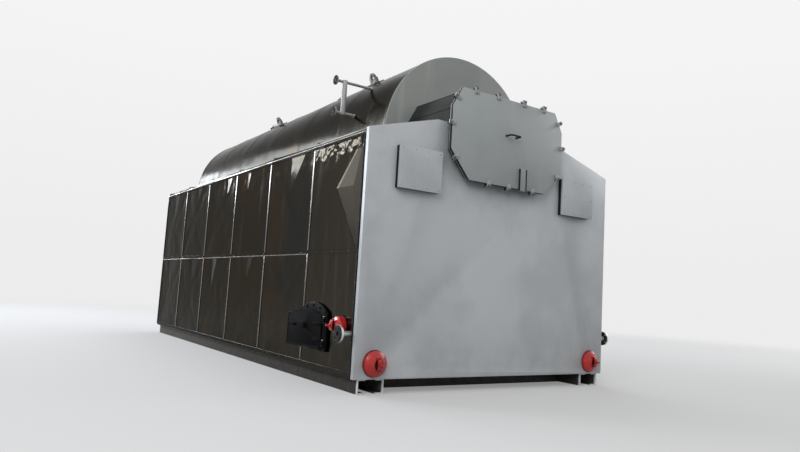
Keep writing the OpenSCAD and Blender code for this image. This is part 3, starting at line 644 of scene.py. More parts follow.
class Paintbox:
    """Every finish of the boiler, built once and kept by name."""

    def __init__(self) -> None:
        """Builds the effects and the finishes."""
        Finish.effects = Effects()
        recipes: tuple[Finish, ...] = (
            PolishedSheet("side_sheet", tone(0.054, 0.049, 0.041), tone(0.072, 0.050, 0.035),
                          tone(0.042, 0.045, 0.045), 0.10, 0.006, 0.13),
            PolishedSheet("drum_sheet", tone(0.050, 0.048, 0.043), tone(0.064, 0.047, 0.035),
                          tone(0.040, 0.042, 0.042), 0.20, 0.007),
            PolishedSheet("roof_sheet", tone(0.07, 0.068, 0.062), tone(0.09, 0.07, 0.05),
                          tone(0.05, 0.055, 0.055), 0.32, 0.006),
            SilverPaint("front_paint", tone(0.475, 0.50, 0.52), tone(0.36, 0.38, 0.40)),
            SilverPaint("cover_paint", tone(0.345, 0.37, 0.375), tone(0.31, 0.33, 0.335), 0.5, 0.1),
            SilverPaint("disc_paint", tone(0.25, 0.266, 0.252), tone(0.215, 0.23, 0.22), 0.55, 0.1),
            # Near-black grey that paints shade on the smoke box's duct walls, cover edges, strap sides, clamp lugs,
            # welds and grab bar.
            SilverPaint("duct_grey", tone(0.026, 0.028, 0.027), tone(0.019, 0.021, 0.020), 0.6, 0.0,
                        tone(0.038, 0.038, 0.037), 0.15),
            BrightStrip("trim", tone(0.14, 0.137, 0.13)),
            # Near-white strip for the eave cap's rear run: a painted highlight.
            BrightStrip("flashing", tone(0.80, 0.80, 0.78), 0.3),
            PolishedSheet("edge_trim", tone(0.050, 0.048, 0.043), tone(0.060, 0.048, 0.038),
                          tone(0.042, 0.044, 0.044), 0.10, 0.004, ripple_scale=14.0),
            GlossPaint("red", tone(0.48, 0.011, 0.009), tone(0.33, 0.007, 0.006), tone(0.10, 0.02, 0.018),
                       0.2, 0.76),
            GlossPaint("pipe_grey", tone(0.36, 0.37, 0.36), tone(0.28, 0.29, 0.28),
                       tone(0.12, 0.09, 0.07), 0.42, 0.74),
            RoughMetal("iron", tone(0.0045, 0.0045, 0.005), tone(0.011, 0.008, 0.006), 0.5, 0.0, 0.0006,
                       0.66, 0.3, 0.04),
            RoughMetal("scale", tone(0.016, 0.017, 0.016), tone(0.035, 0.028, 0.022), 0.6, 0.0, 0.0006,
                       shine=0.12),
            OversprayedSteel("skid_black", tone(0.015, 0.016, 0.0155), tone(0.035, 0.022, 0.015), 0.55,
                             0.1, 0.0006, 0.6, shine=0.2),
            RoughMetal("zinc", tone(0.62, 0.64, 0.64), tone(0.42, 0.40, 0.36), 0.34, 0.85, 0.0003, 0.64),
            # Near black: real gaskets and seals, and also painted shadow on the hatch frames.
            RoughMetal("gasket", grey(0.012), tone(0.03, 0.02, 0.015), 0.8, 0.0, 0.0008, 0.6, 0.3, 0.15),
            RoughMetal("lining", tone(0.22, 0.20, 0.17), tone(0.30, 0.24, 0.17), 0.9, 0.0, 0.003, 0.5),
            RoughMetal("bolt", tone(0.20, 0.20, 0.195), tone(0.12, 0.07, 0.045), 0.4, 0.8, 0.0002, 0.6),
            RoughMetal("lug", tone(0.11, 0.11, 0.105), tone(0.16, 0.075, 0.04), 0.5, 0.5, 0.0008, 0.54),
            RoughMetal("soot", tone(0.012, 0.011, 0.010), tone(0.03, 0.022, 0.018), 0.85, 0.0, 0.003),
        )
        self.made = {finish.name: finish.build() for finish in recipes}

    def __getitem__(self, key: str) -> bpy.types.Material:
        """The material of that name."""
        return self.made[key]


# Mesh helpers


def aligned(origin: Sequence[float], direction: Sequence[float]) -> Matrix:
    """A placement whose Z axis runs along direction from origin."""
    turn = Vector((0, 0, 1)).rotation_difference(Vector(direction).normalized()).to_matrix().to_4x4()
    return Matrix.Translation(Vector(origin)) @ turn


def join(bm: Mesh, part: Mesh) -> None:
    """Adds a finished part to a mesh and frees the part.

    Args:
        bm: The mesh that it joins.
        part: The part.
    """
    holder = bpy.data.meshes.new("part")
    part.to_mesh(holder)
    part.free()
    bm.from_mesh(holder)
    bpy.data.meshes.remove(holder)


def soften(bm: Mesh, edges: Iterable[bmesh.types.BMEdge], width: float) -> None:
    """Bevels edges with a round profile.

    Args:
        bm: Their mesh.
        edges: The edges, if there are any.
        width: Width of the bevel.
    """
    chosen = list(edges)
    if chosen:
        bmesh.ops.bevel(bm, geom=chosen, offset=width, offset_type="OFFSET", segments=2, profile=0.5,
                        affect="EDGES", clamp_overlap=True, material=-1)


def block(bm: Mesh, low: Sequence[float], high: Sequence[float], bevel: float = 0.0,
          place: Matrix | None = None) -> None:
    """Adds a box with softened edges.

    Args:
        bm: The mesh that it joins.
        low: Its lowest corner.
        high: Its highest corner.
        bevel: Radius of its edges; 0 leaves them sharp.
        place: Where the corners are measured from, if not the frame.
    """
    low, high = Vector(low), Vector(high)
    size = high - low
    shape = Matrix.Translation((low + high) / 2) @ Matrix.Diagonal((size.x, size.y, size.z, 1.0))
    made = bmesh.ops.create_cube(bm, size=1.0, matrix=(place @ shape) if place else shape)
    if bevel > 0:
        faces = {f for v in made["verts"] for f in v.link_faces}
        soften(bm, {e for f in faces for e in f.edges}, bevel)


def rod(bm: Mesh, start: Sequence[float], end: Sequence[float], radius: float, segments: int = 32,
        bevel: float = 0.0, end_radius: float | None = None) -> None:
    """Adds a round or many-sided bar.

    Args:
        bm: The mesh that it joins.
        start: Middle of one end.
        end: Middle of the other.
        radius: The bar's radius.
        segments: Number of its sides.
        bevel: Radius of its end edges; 0 leaves them sharp.
        end_radius: Radius at the end of a tapered bar.
    """
    axis = Vector(end) - Vector(start)
    place = aligned((Vector(start) + Vector(end)) / 2, axis)
    made = bmesh.ops.create_cone(bm, cap_ends=True, segments=segments, radius1=radius,
                                 radius2=radius if end_radius is None else end_radius, depth=axis.length,
                                 matrix=place)
    if bevel > 0:
        caps = {f for v in made["verts"] for f in v.link_faces if len(f.verts) == segments}
        soften(bm, {e for f in caps for e in f.edges}, bevel)


def lathe(bm: Mesh, profile: Corners, place: Matrix, steps: int = 48, closed: bool = True) -> None:
    """Turns a profile round the Z axis of a placement.

    Args:
        bm: The mesh that it joins.
        profile: Points as radius and height; a closed one is a ring's section.
        place: Placement of the axis.
        steps: Segments round the axis.
        closed: Joins the last point to the first.
    """
    part = bmesh.new()
    verts = [part.verts.new((r, 0.0, z)) for r, z in profile]
    pairs = list(zip(verts, verts[1:] + verts[:1])) if closed else list(zip(verts, verts[1:]))
    edges = [part.edges.new(pair) for pair in pairs]
    bmesh.ops.spin(part, geom=verts + edges, cent=(0, 0, 0), axis=(0, 0, 1), angle=2 * math.pi, steps=steps,
                   use_merge=True, use_duplicate=False)
    bmesh.ops.remove_doubles(part, verts=part.verts, dist=1e-6)
    bmesh.ops.transform(part, matrix=place, verts=part.verts)
    join(bm, part)


def ring(bm: Mesh, place: Matrix, inner: float, outer: float, height: float, steps: int = 48,
         bevel: float = 0.001) -> None:
    """Adds a flat ring with chamfered rims, from the placement's origin along its Z axis.

    Args:
        bm: The mesh that it joins.
        place: Placement of its axis.
        inner: Radius of its hole.
        outer: Its outer radius.
        height: Its thickness.
        steps: Segments round the axis.
        bevel: Width of the chamfers.
    """
    b = min(bevel, height / 3, (outer - inner) / 3)
    profile = [(inner, b), (inner + b, 0), (outer - b, 0), (outer, b), (outer, height - b), (outer - b, height),
               (inner + b, height), (inner, height - b)]
    lathe(bm, profile, place, steps)


def bead(bm: Mesh, place: Matrix, radius: float, thickness: float, steps: int = 48) -> None:
    """Adds a round bead, such as a weld, on a circle about the placement's Z axis.

    Args:
        bm: The mesh that it joins.
        place: Placement of the circle.
        radius: The circle's radius.
        thickness: The bead's own radius.
        steps: Segments round the circle.
    """
    profile = [(radius + thickness * math.cos(a), thickness * math.sin(a))
               for a in (k * math.pi / 4 for k in range(8))]
    lathe(bm, profile, place, steps)


def bolt(bm: Mesh, foot: Sequence[float], direction: Sequence[float], size: float, stud: float = 0.0) -> None:
    """Adds a washer and a hexagon head, or a nut on a stud.

    Args:
        bm: The mesh that it joins.
        foot: Where it bears.
        direction: The way it stands out.
        size: The thread's diameter.
        stud: Length of thread that shows beyond the nut.
    """
    foot, way = Vector(foot), Vector(direction).normalized()
    rod(bm, foot, foot + way * size * 0.18, size * 1.08, 16)
    rod(bm, foot + way * size * 0.16, foot + way * size * 0.85, size * 0.92, 6, size * 0.07)
    if stud > 0:
        rod(bm, foot + way * size * 0.8, foot + way * (size * 0.85 + stud), size * 0.5, 12, size * 0.08)


def rivet(bm: Mesh, foot: Sequence[float], direction: Sequence[float], radius: float) -> None:
    """Adds a low dome.

    Args:
        bm: The mesh that it joins.
        foot: Where it sits.
        direction: The way it stands out.
        radius: Its radius.
    """
    foot, way = Vector(foot), Vector(direction).normalized()
    rod(bm, foot, foot + way * radius * 0.35, radius, 10)
    rod(bm, foot + way * radius * 0.33, foot + way * radius * 0.62, radius * 0.86, 10, 0.0, radius * 0.4)


def tube(name: str, points: Sequence[Point], radius: float, bend: float) -> Mesh:
    """Bends a round bar through points.

    Args:
        name: A name for the helper curve.
        points: The corners of the bar's axis.
        radius: The bar's radius.
        bend: The radius of its bends.

    Returns:
        The bar's mesh.
    """
    curve = bpy.data.curves.new(name, "CURVE")
    curve.dimensions, curve.bevel_depth, curve.bevel_resolution = "3D", radius, 5
    curve.use_fill_caps = True
    route: list[Vector] = [Vector(points[0])]
    for before, corner, after in zip(points, points[1:], points[2:]):
        a, c, b = Vector(before), Vector(corner), Vector(after)
        enter, leave = c + (a - c).normalized() * bend, c + (b - c).normalized() * bend
        for k in range(9):
            t = k / 8
            route.append(enter.lerp(c, t).lerp(c.lerp(leave, t), t))
    route.append(Vector(points[-1]))
    spline = curve.splines.new("POLY")
    spline.points.add(len(route) - 1)
    for target, p in zip(spline.points, route):
        target.co = (*p, 1.0)
    holder = bpy.data.objects.new(name, curve)
    bm = bmesh.new()
    bm.from_mesh(holder.to_mesh())
    holder.to_mesh_clear()
    bpy.data.objects.remove(holder)
    bpy.data.curves.remove(curve)
    return bm


def strip(bm: Mesh, section: Corners, start: Point, end: Point, across: Point) -> None:
    """Draws a section along a line.

    Args:
        bm: The mesh that it joins.
        section: Corners as distance outwards and distance along across.
        start: Where the section's origin begins.
        end: Where it ends.
        across: The second direction of the section; the first is square to it and to the line.
    """
    a, b = Vector(start), Vector(end)
    second = Vector(across).normalized()
    first = (b - a).normalized().cross(second)
    corners = [bm.verts.new(a + first * p + second * q) for p, q in section]
    face = bm.faces.new(corners)
    moved = bmesh.ops.extrude_face_region(bm, geom=[face])["geom"]
    bmesh.ops.translate(bm, vec=b - a, verts=[g for g in moved if isinstance(g, bmesh.types.BMVert)])


def slab(bm: Mesh, outline: Corners, y0: float, y1: float, bevel: float) -> None:
    """Extrudes an outline in X and Z.

    Args:
        bm: The mesh that it joins.
        outline: Its corners.
        y0: Where it starts.
        y1: Where it ends.
        bevel: Radius of the end edges.
    """
    face = bm.faces.new([bm.verts.new((x, y0, z)) for x, z in outline])
    moved = bmesh.ops.extrude_face_region(bm, geom=[face])["geom"]
    bmesh.ops.translate(bm, vec=(0, y1 - y0, 0), verts=[g for g in moved if isinstance(g, bmesh.types.BMVert)])
    ends = [g for g in moved if isinstance(g, bmesh.types.BMFace)] + [face]
    soften(bm, {e for f in ends if f.is_valid for e in f.edges}, bevel)


# Sizes that several assemblies share, as in the CAD model

Y_MID = 3.3925
HALF_W = 1.556
WALL_X = 1.544
BASE_Z = 0.14
EAVE_Z = 2.24
CASING_L = 6.392
RAIL_Z = 1.2
CLAD_FRONT = 0.054
SHEETS = 6
SHEET_JOINT = 1.014
SHEET_PITCH = 1.0756
DRUM_Z = 2.471
DRUM_R = 0.970


def at(y: float) -> float:
    """The frame's Y of a distance from the front plate's face."""
    return y - Y_MID


class Bench:
    """Turns finished meshes into pieces that ride on the boiler."""

    def __init__(self, paints: Paintbox) -> None:
        """Keeps the paints."""
        self.paints = paints
        self.count = 0

    def piece(self, name: str, bm: Mesh, paint: str, slot: Slot, body: Body = Body.BOILER,
              smooth: float = 0.6, stands_for: Sequence[str] = ()) -> bpy.types.Object:
        """Makes an object of a mesh and hands it to the frame.

        Args:
            name: The piece's name.
            bm: Its mesh, which is freed.
            paint: The key of its finish.
            slot: The record slot that it belongs to; not used.
            body: The body that it moves with.
            smooth: The angle up to which edges are shaded round; 0 leaves it flat.
            stands_for: CAD nodes that it replaces.

        Returns:
            The new object.
        """
        bmesh.ops.recalc_face_normals(bm, faces=bm.faces)
        for face in bm.faces:
            face.smooth = smooth > 0
        for edge in bm.edges:
            edge.smooth = len(edge.link_faces) == 2 and edge.calc_face_angle(0.0) < smooth
        mesh = bpy.data.meshes.new(name)
        bm.to_mesh(mesh)
        bm.free()
        mesh.materials.append(self.paints[paint])
        made = bpy.data.objects.new(name, mesh)
        bpy.context.scene.collection.objects.link(made)
        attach(made, body.value)
        if stands_for:
            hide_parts(*stands_for)
        self.count += 1
        LOG.info("%s: %d faces", name, len(mesh.polygons))
        return made

    def repaint(self, made: bpy.types.Object, paint: str, chosen: Callable[[Vector], bool]) -> None:
        """Gives some faces of a piece another finish.

        Args:
            made: The piece.
            paint: The key of the second finish.
            chosen: Tells from a face's centre whether it takes that finish.
        """
        made.data.materials.append(self.paints[paint])
        index = len(made.data.materials) - 1
        for face in made.data.polygons:
            if chosen(face.center):
                face.material_index = index

    def eased(self, node: str, name: str, paint: str, slot: Slot, radius: float, body: Body = Body.BOILER,
              angle: float = 0.7) -> bpy.types.Object:
        """Replaces a CAD node by a copy of itself with eased edges.

        Args:
            node: The CAD node.
            name: The new piece's name.
            paint: The key of its finish.
            slot: The record slot that it belongs to.
            radius: Radius of the eased edges.
            body: The body that it moves with.
            angle: Edges sharper than this, in radians, are eased.

        Returns:
            The new object.
        """
        bm = bmesh.new()
        bm.from_mesh(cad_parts[node].data)
        bmesh.ops.remove_doubles(bm, verts=bm.verts, dist=2e-6)
        bmesh.ops.dissolve_limit(bm, angle_limit=0.01, verts=bm.verts, edges=bm.edges)
        soften(bm, (e for e in bm.edges if len(e.link_faces) == 2 and e.calc_face_angle(0.0) > angle), radius)
        return self.piece(name, bm, paint, slot, body, stands_for=(node,))


@dataclass
class BaseFrame:
    """Rolled channels, cross beams and sill that carry the block, with their welds."""

    bench: Bench
    edge: float = 0.0025
    weld: float = 0.006
    skid_h: float = 0.125
    inner_web: float = 1.244
    weld_in: float = 0.004
    weld_short: float = 0.01
    beam_y: Pair = (0.36, 6.032)
    beam_w: float = 0.1

    def build(self) -> None:
        """Builds the frame's pieces."""
        for node, name in (("left_skid", "left_skid_channels"), ("right_skid", "right_skid_channels"),
                           ("cross_beams", "cross_beam_boxes"), ("base_sill", "base_sill_plate")):
            self.bench.eased(node, name, "skid_black", Slot.SKID, self.edge)
        self.welds()

    def welds(self) -> None:
        """Fillet welds where the cross beams meet the channels."""
        bm = bmesh.new()
        for side in SIDES.values():
            for y in self.beam_y:
                for step in (-0.5, 0.5):
                    place = at(y + step * self.beam_w)
                    x, low = side * (self.inner_web - self.weld_in), self.weld_short
                    rod(bm, (x, place, low), (x, place, self.skid_h - low), self.weld, 8)
        self.bench.piece("frame_welds", bm, "skid_black", Slot.SKID)


@dataclass
class SideCladding:
    """Buckled polished sheets of both long sides, in two tiers, with a crumpled upper edge."""

    bench: Bench
    gap: float = 0.008
    cell: float = 0.023
    pillow: float = 0.0034
    buckle: float = 0.0042
    crease: float = 0.0042
    ripple: float = 0.0011
    curl_from: float = 0.72
    curl: float = 0.0030
    sink: float = 0.0008
    least: float = 0.0004
    deepest: float = 0.0105
    lap: float = 0.0005
    doorway: tuple[float, float, float, float] = (0.545, 0.995, 0.325, 0.618)

    def build(self) -> None:
        """Builds four rows of sheets in place of the plain panels."""
        slit = self.gap / 2
        tiers = {"upper": (RAIL_Z + slit, EAVE_Z), "lower": (BASE_Z, RAIL_Z - slit)}
        for hand, side in SIDES.items():
            for tier, (z0, z1) in tiers.items():
                bm = bmesh.new()
                for k in range(SHEETS):
                    y0 = CLAD_FRONT if k == 0 else SHEET_JOINT + (k - 1) * SHEET_PITCH + slit
                    y1 = CASING_L if k == SHEETS - 1 else SHEET_JOINT + k * SHEET_PITCH - slit
                    seed = k + 20 * (tier == "upper") + 50 * (hand == "right")
                    hole = self.doorway if (k, tier, hand) == (0, "lower", "left") else None
                    self.sheet(bm, side, (at(y0), z0), (at(y1), z1), seed, tier == "upper", hole)
                self.bench.piece(f"{hand}_{tier}_sheets", bm, "side_sheet", Slot.SIDE_SHEET, smooth=0.9,
                                 stands_for=(f"{hand}_{tier}_panels",))

    def creases(self, seed: int, w: float, h: float) -> list[Crease]:
        """Chooses the creases of one sheet.

        Args:
            seed: The sheet's own number.
            w: Its width.
            h: Its height.

        Returns:
            Start, end, half width and depth of each crease.
        """
        dice = random.Random(seed * 31 + 7)
        found = []
        for corner in ((0, 1), (1, 1), (0, 0), (1, 0)):
            foot = Vector((dice.uniform(0.3, 0.7) * w, dice.uniform(0.35, 0.65) * h))
            start = Vector((corner[0] * w + dice.uniform(-0.1, 0.1) * w, corner[1] * h))
            found.append((start, foot, dice.uniform(0.06, 0.15), self.crease * dice.uniform(0.45, 1.0)))
        for _ in range(3):
            start = Vector((dice.uniform(0.1, 0.9) * w, dice.uniform(0.1, 0.95) * h))
            reach = Vector((dice.uniform(-0.25, 0.25) * w, dice.uniform(-0.5, 0.5) * h))
            found.append((start, start + reach, dice.uniform(0.03, 0.07), self.crease * dice.uniform(0.2, 0.6)))
        return found

    def sheet(self, bm: Mesh, side: float, low: Pair, high: Pair,
              seed: int, upper: bool, hole: tuple[float, float, float, float] | None) -> None:
        """Adds one closed sheet.

        Args:
            bm: The row's mesh.
            side: -1 for left, 1 for right.
            low: Lowest Y and Z.
            high: Highest Y and Z.
            seed: The sheet's own number.
            upper: Whether its top edge is crumpled.
            hole: Doorway as two distances from the front and two heights.
        """
        w, h = high[0] - low[0], high[1] - low[1]
        part = bmesh.new()
        place = (Matrix.Translation((side * HALF_W, (low[0] + high[0]) / 2, (low[1] + high[1]) / 2))
                 @ Matrix.Rotation(side * math.pi / 2, 4, "Y") @ Matrix.Diagonal((h, w, 1.0, 1.0)))
        bmesh.ops.create_grid(part, x_segments=round(h / self.cell), y_segments=round(w / self.cell), size=0.5,
                              matrix=place)
        marks = self.creases(seed, w, h)
        for vert in part.verts:
            spot = Vector((vert.co.y - low[0], vert.co.z - low[1]))
            vert.co.x = side * (HALF_W - self.depth(spot, w, h, seed, marks, upper))
        if hole:
            inside = [f for f in part.faces
                      if at(hole[0]) < f.calc_center_median().y < at(hole[1])
                      and hole[2] < f.calc_center_median().z < hole[3]]
            bmesh.ops.delete(part, geom=inside, context="FACES")
        rim = [e for e in part.edges if len(e.link_faces) == 1]
        made = bmesh.ops.extrude_edge_only(part, edges=rim)["geom"]
        for vert in (g for g in made if isinstance(g, bmesh.types.BMVert)):
            vert.co.x = side * (WALL_X + self.lap)
        back = [g for g in made if isinstance(g, bmesh.types.BMEdge) and len(g.link_faces) == 1]
        if hole:
            bmesh.ops.bridge_loops(part, edges=back)
        else:
            bmesh.ops.edgeloop_fill(part, edges=back)
        join(bm, part)

    def depth(self, spot: Vector, w: float, h: float, seed: int, marks: Sequence[Crease], upper: bool) -> float:
        """Finds how deep a point of a sheet lies.

        Args:
            spot: Its distances from the sheet's front edge and foot.
            w: The sheet's width.
            h: Its height.
            seed: Its own number.
            marks: Its creases.
            upper: Whether its top edge is crumpled.

        Returns:
            The distance behind the cladding's outer face.
        """
        u, t = spot.x / w, spot.y / h
        hold = min(1.0, 7 * min(u, 1 - u)) * min(1.0, 9 * min(t, 1 - t))
        dip = self.pillow * math.sqrt(max(0.0, math.sin(math.pi * u) * math.sin(math.pi * t)))
        flow = noise.noise(Vector((spot.x * 2.1 + seed * 5.3, spot.y * 1.3, seed * 2.7)))
        ripple = noise.noise(Vector((spot.x * 6.5, spot.y * 4.0 + seed * 3.1, seed * 1.9)))
        dip += hold * (self.buckle * (flow * 0.8 + 0.35) + self.ripple * ripple)
        for start, foot, half, deep in marks:
            run = foot - start
            share = max(0.0, min(1.0, (spot - start).dot(run) / run.length_squared))
            off = (spot - start - run * share).length
            dip += hold * deep * max(0.0, 1 - off / half) * (1 - 0.6 * share)
        if upper and t > self.curl_from:
            curl = min(1.0, (t - self.curl_from) * 7) * (1.4 if seed % 50 == 20 else 0.7)
            dip += curl * self.curl * (noise.noise(Vector((spot.x * 9.0, spot.y * 3.0, seed + 0.5))) + 0.3)
        return max(self.least, min(self.deepest, dip + self.sink))


@dataclass
class CladdingTrims:
    """Column strips, the hat-shaped mid rail and the edge flashings of both long sides, with their screws."""

    bench: Bench
    proud: float = 0.004
    sunk: float = -0.001
    lip: Pair = (0.0045, 0.003)
    rail_h: float = 0.042
    edge_h: float = 0.036
    screw_r: float = 0.0036
    screw_sink: float = 0.0002
    screw_pitch: float = 0.16
    lines: tuple[float, ...] = (CLAD_FRONT + 0.012, *(SHEET_JOINT + k * SHEET_PITCH for k in range(SHEETS - 1)),
                                CASING_L - 0.012)
    colour_gap: float = 0.0005
    door_y: Pair = (0.48, 1.07)
    door_z: Pair = (0.28, 0.76)

    def build(self) -> None:
        """Builds strips, rails and screws for both sides."""
        for hand, side in SIDES.items():
            strips = self.bench.eased(f"{hand}_column_trims", f"{hand}_column_strips", "trim", Slot.TRIM, 0.0012)
            self.bench.repaint(strips, "edge_trim", lambda c: c.y > at(CASING_L - 0.04))
            self.bench.repaint(strips, "gasket", lambda c: c.y < at(0.09))
            self.rails(hand, side)
            self.screws(hand, side)

    def rails(self, hand: str, side: float) -> None:
        """Builds the folded rails that stand for the plain bars.

        Args:
            hand: The side's name.
            side: -1 for left, 1 for right.
        """
        p, s, r, e = self.proud, self.sunk, self.rail_h / 2, self.edge_h
        q, flat = self.lip
        before = self.lines[1] - self.colour_gap

        def run(bm: Mesh, section: Corners, z: float, since: float = CLAD_FRONT, until: float = CASING_L) -> None:
            """Draws a section along the side at height z, between two distances from the front."""
            strip(bm, [(side * out, up) for out, up in section], (side * HALF_W, at(since), z),
                  (side * HALF_W, at(until), z), (0, 0, 1))

        pan = bmesh.new()
        run(pan, [(s, -r), (p * 0.35, -r), (p * 0.35, r), (s, r)], RAIL_Z)
        self.bench.piece(f"{hand}_mid_rail_pan", pan, "side_sheet", Slot.TRIM)
        # The mid rail's lower lip behind the front sheet takes the brighter trim as a painted highlight; elsewhere the
        # lips take the dark sheet finish.
        bright, dull = bmesh.new(), bmesh.new()
        lip = [(s, -q), (p * 0.7, -q), (p, -flat), (p, flat), (p * 0.7, q), (s, q)]
        run(bright, lip, RAIL_Z - r + q, since=self.lines[1])
        run(dull, lip, RAIL_Z - r + q, until=before)
        run(dull, lip, RAIL_Z + r - q)
        run(dull, [(s, 0), (p * 0.6, 0), (p * 0.6, e - 0.008), (s, e - 0.008)], BASE_Z)
        run(dull, lip, BASE_Z + e - q)
        run(dull, [(s, 0.003), (p * 0.4, 0.003), (p * 0.5, e - 0.009), (s, e - 0.009)], EAVE_Z - e)
        self.bench.piece(f"{hand}_rail_lips", bright, "trim", Slot.TRIM, stands_for=(f"{hand}_rail_trims",))
        self.bench.piece(f"{hand}_rail_faces", dull, "edge_trim", Slot.TRIM)
        # The eave cap's rear run takes the white flashing finish as a painted highlight; its front run takes the darker
        # trim.
        top, fore = bmesh.new(), bmesh.new()
        cap = [(s, -0.006), (p * 0.6, -0.006), (p, -flat), (p, 0.0025), (p * 0.7, q), (s, q)]
        run(top, cap, EAVE_Z - q, since=self.lines[2])
        run(fore, cap, EAVE_Z - q, until=self.lines[2] - self.colour_gap)
        self.bench.piece(f"{hand}_top_flashing", top, "flashing", Slot.TRIM)
        self.bench.piece(f"{hand}_front_flashing", fore, "trim", Slot.TRIM)

    def screws(self, hand: str, side: float) -> None:
        """Sets dome screws along strips and rails, except where the left fire door stands.

        Args:
            hand: The side's name.
            side: -1 for left, 1 for right.
        """
        bm = bmesh.new()
        tiers = ((BASE_Z + self.edge_h, RAIL_Z - self.rail_h / 2), (RAIL_Z + self.rail_h / 2, EAVE_Z - self.edge_h))
        for y in self.lines:
            for z0, z1 in tiers:
                count = round((z1 - z0) / self.screw_pitch)
                for k in range(count):
                    z = z0 + (k + 0.5) * (z1 - z0) / count
                    if side < 0 and self.door_z[0] < z < self.door_z[1] and self.door_y[0] < y < self.door_y[1]:
                        continue
                    rivet(bm, (side * (HALF_W + self.proud - self.screw_sink), at(y), z), (side, 0, 0), self.screw_r)
        count = round((CASING_L - CLAD_FRONT) / (2 * self.screw_pitch))
        for k in range(count):
            y = at(CLAD_FRONT + (k + 0.5) * (CASING_L - CLAD_FRONT) / count)
            for z, out in ((BASE_Z + self.edge_h / 2, 0.8), (RAIL_Z, 0.35), (EAVE_Z - self.edge_h / 2, 0.55)):
                rivet(bm, (side * (HALF_W + self.proud * out - self.screw_sink), y, z), (side, 0, 0), self.screw_r)
        self.bench.piece(f"{hand}_cladding_screws", bm, "bolt", Slot.TRIM)


@dataclass
class RoofSheets:
    """Shoulder roofs beside the drum, with standing seams."""

    bench: Bench
    foot: Pair = (1.542, 2.268)
    crown: Pair = (0.832, 2.473)
    seam_w: float = 0.018
    seam_h: float = 0.016
    seam_back: float = 0.02
    seam_sunk: float = 0.002
    drum_line: float = 0.985

    def build(self) -> None:
        """Builds the roofs and their seams."""
        roofs = self.bench.eased("shoulder_roofs", "shoulder_roof_sheets", "roof_sheet", Slot.DRUM_SHEET, 0.002)
        self.bench.repaint(roofs, "edge_trim", lambda c: abs(c.x) > self.foot[0] + 0.001)
        bm = bmesh.new()
        slope = (self.crown[1] - self.foot[1]) / (self.foot[0] - self.crown[0])
        for side in SIDES.values():
            for k in range(SHEETS):
                y = at(SHEET_JOINT + k * SHEET_PITCH) - self.seam_back
                high = self.foot[1] + (self.foot[0] - self.drum_line) * slope
                a = Vector((side * self.foot[0], y, self.foot[1] - self.seam_sunk))
                b = Vector((side * self.drum_line, y, high - self.seam_sunk))
                up = (b - a).normalized().cross(Vector((0, 1, 0))) * -side
                half = self.seam_w / 2
                shape = [(-half, 0), (half, 0), (half * 0.6, self.seam_h), (-half * 0.6, self.seam_h)]
                strip(bm, shape, a, b, up if up.z > 0 else -up)
        self.bench.piece("roof_standing_seams", bm, "roof_sheet", Slot.DRUM_SHEET)


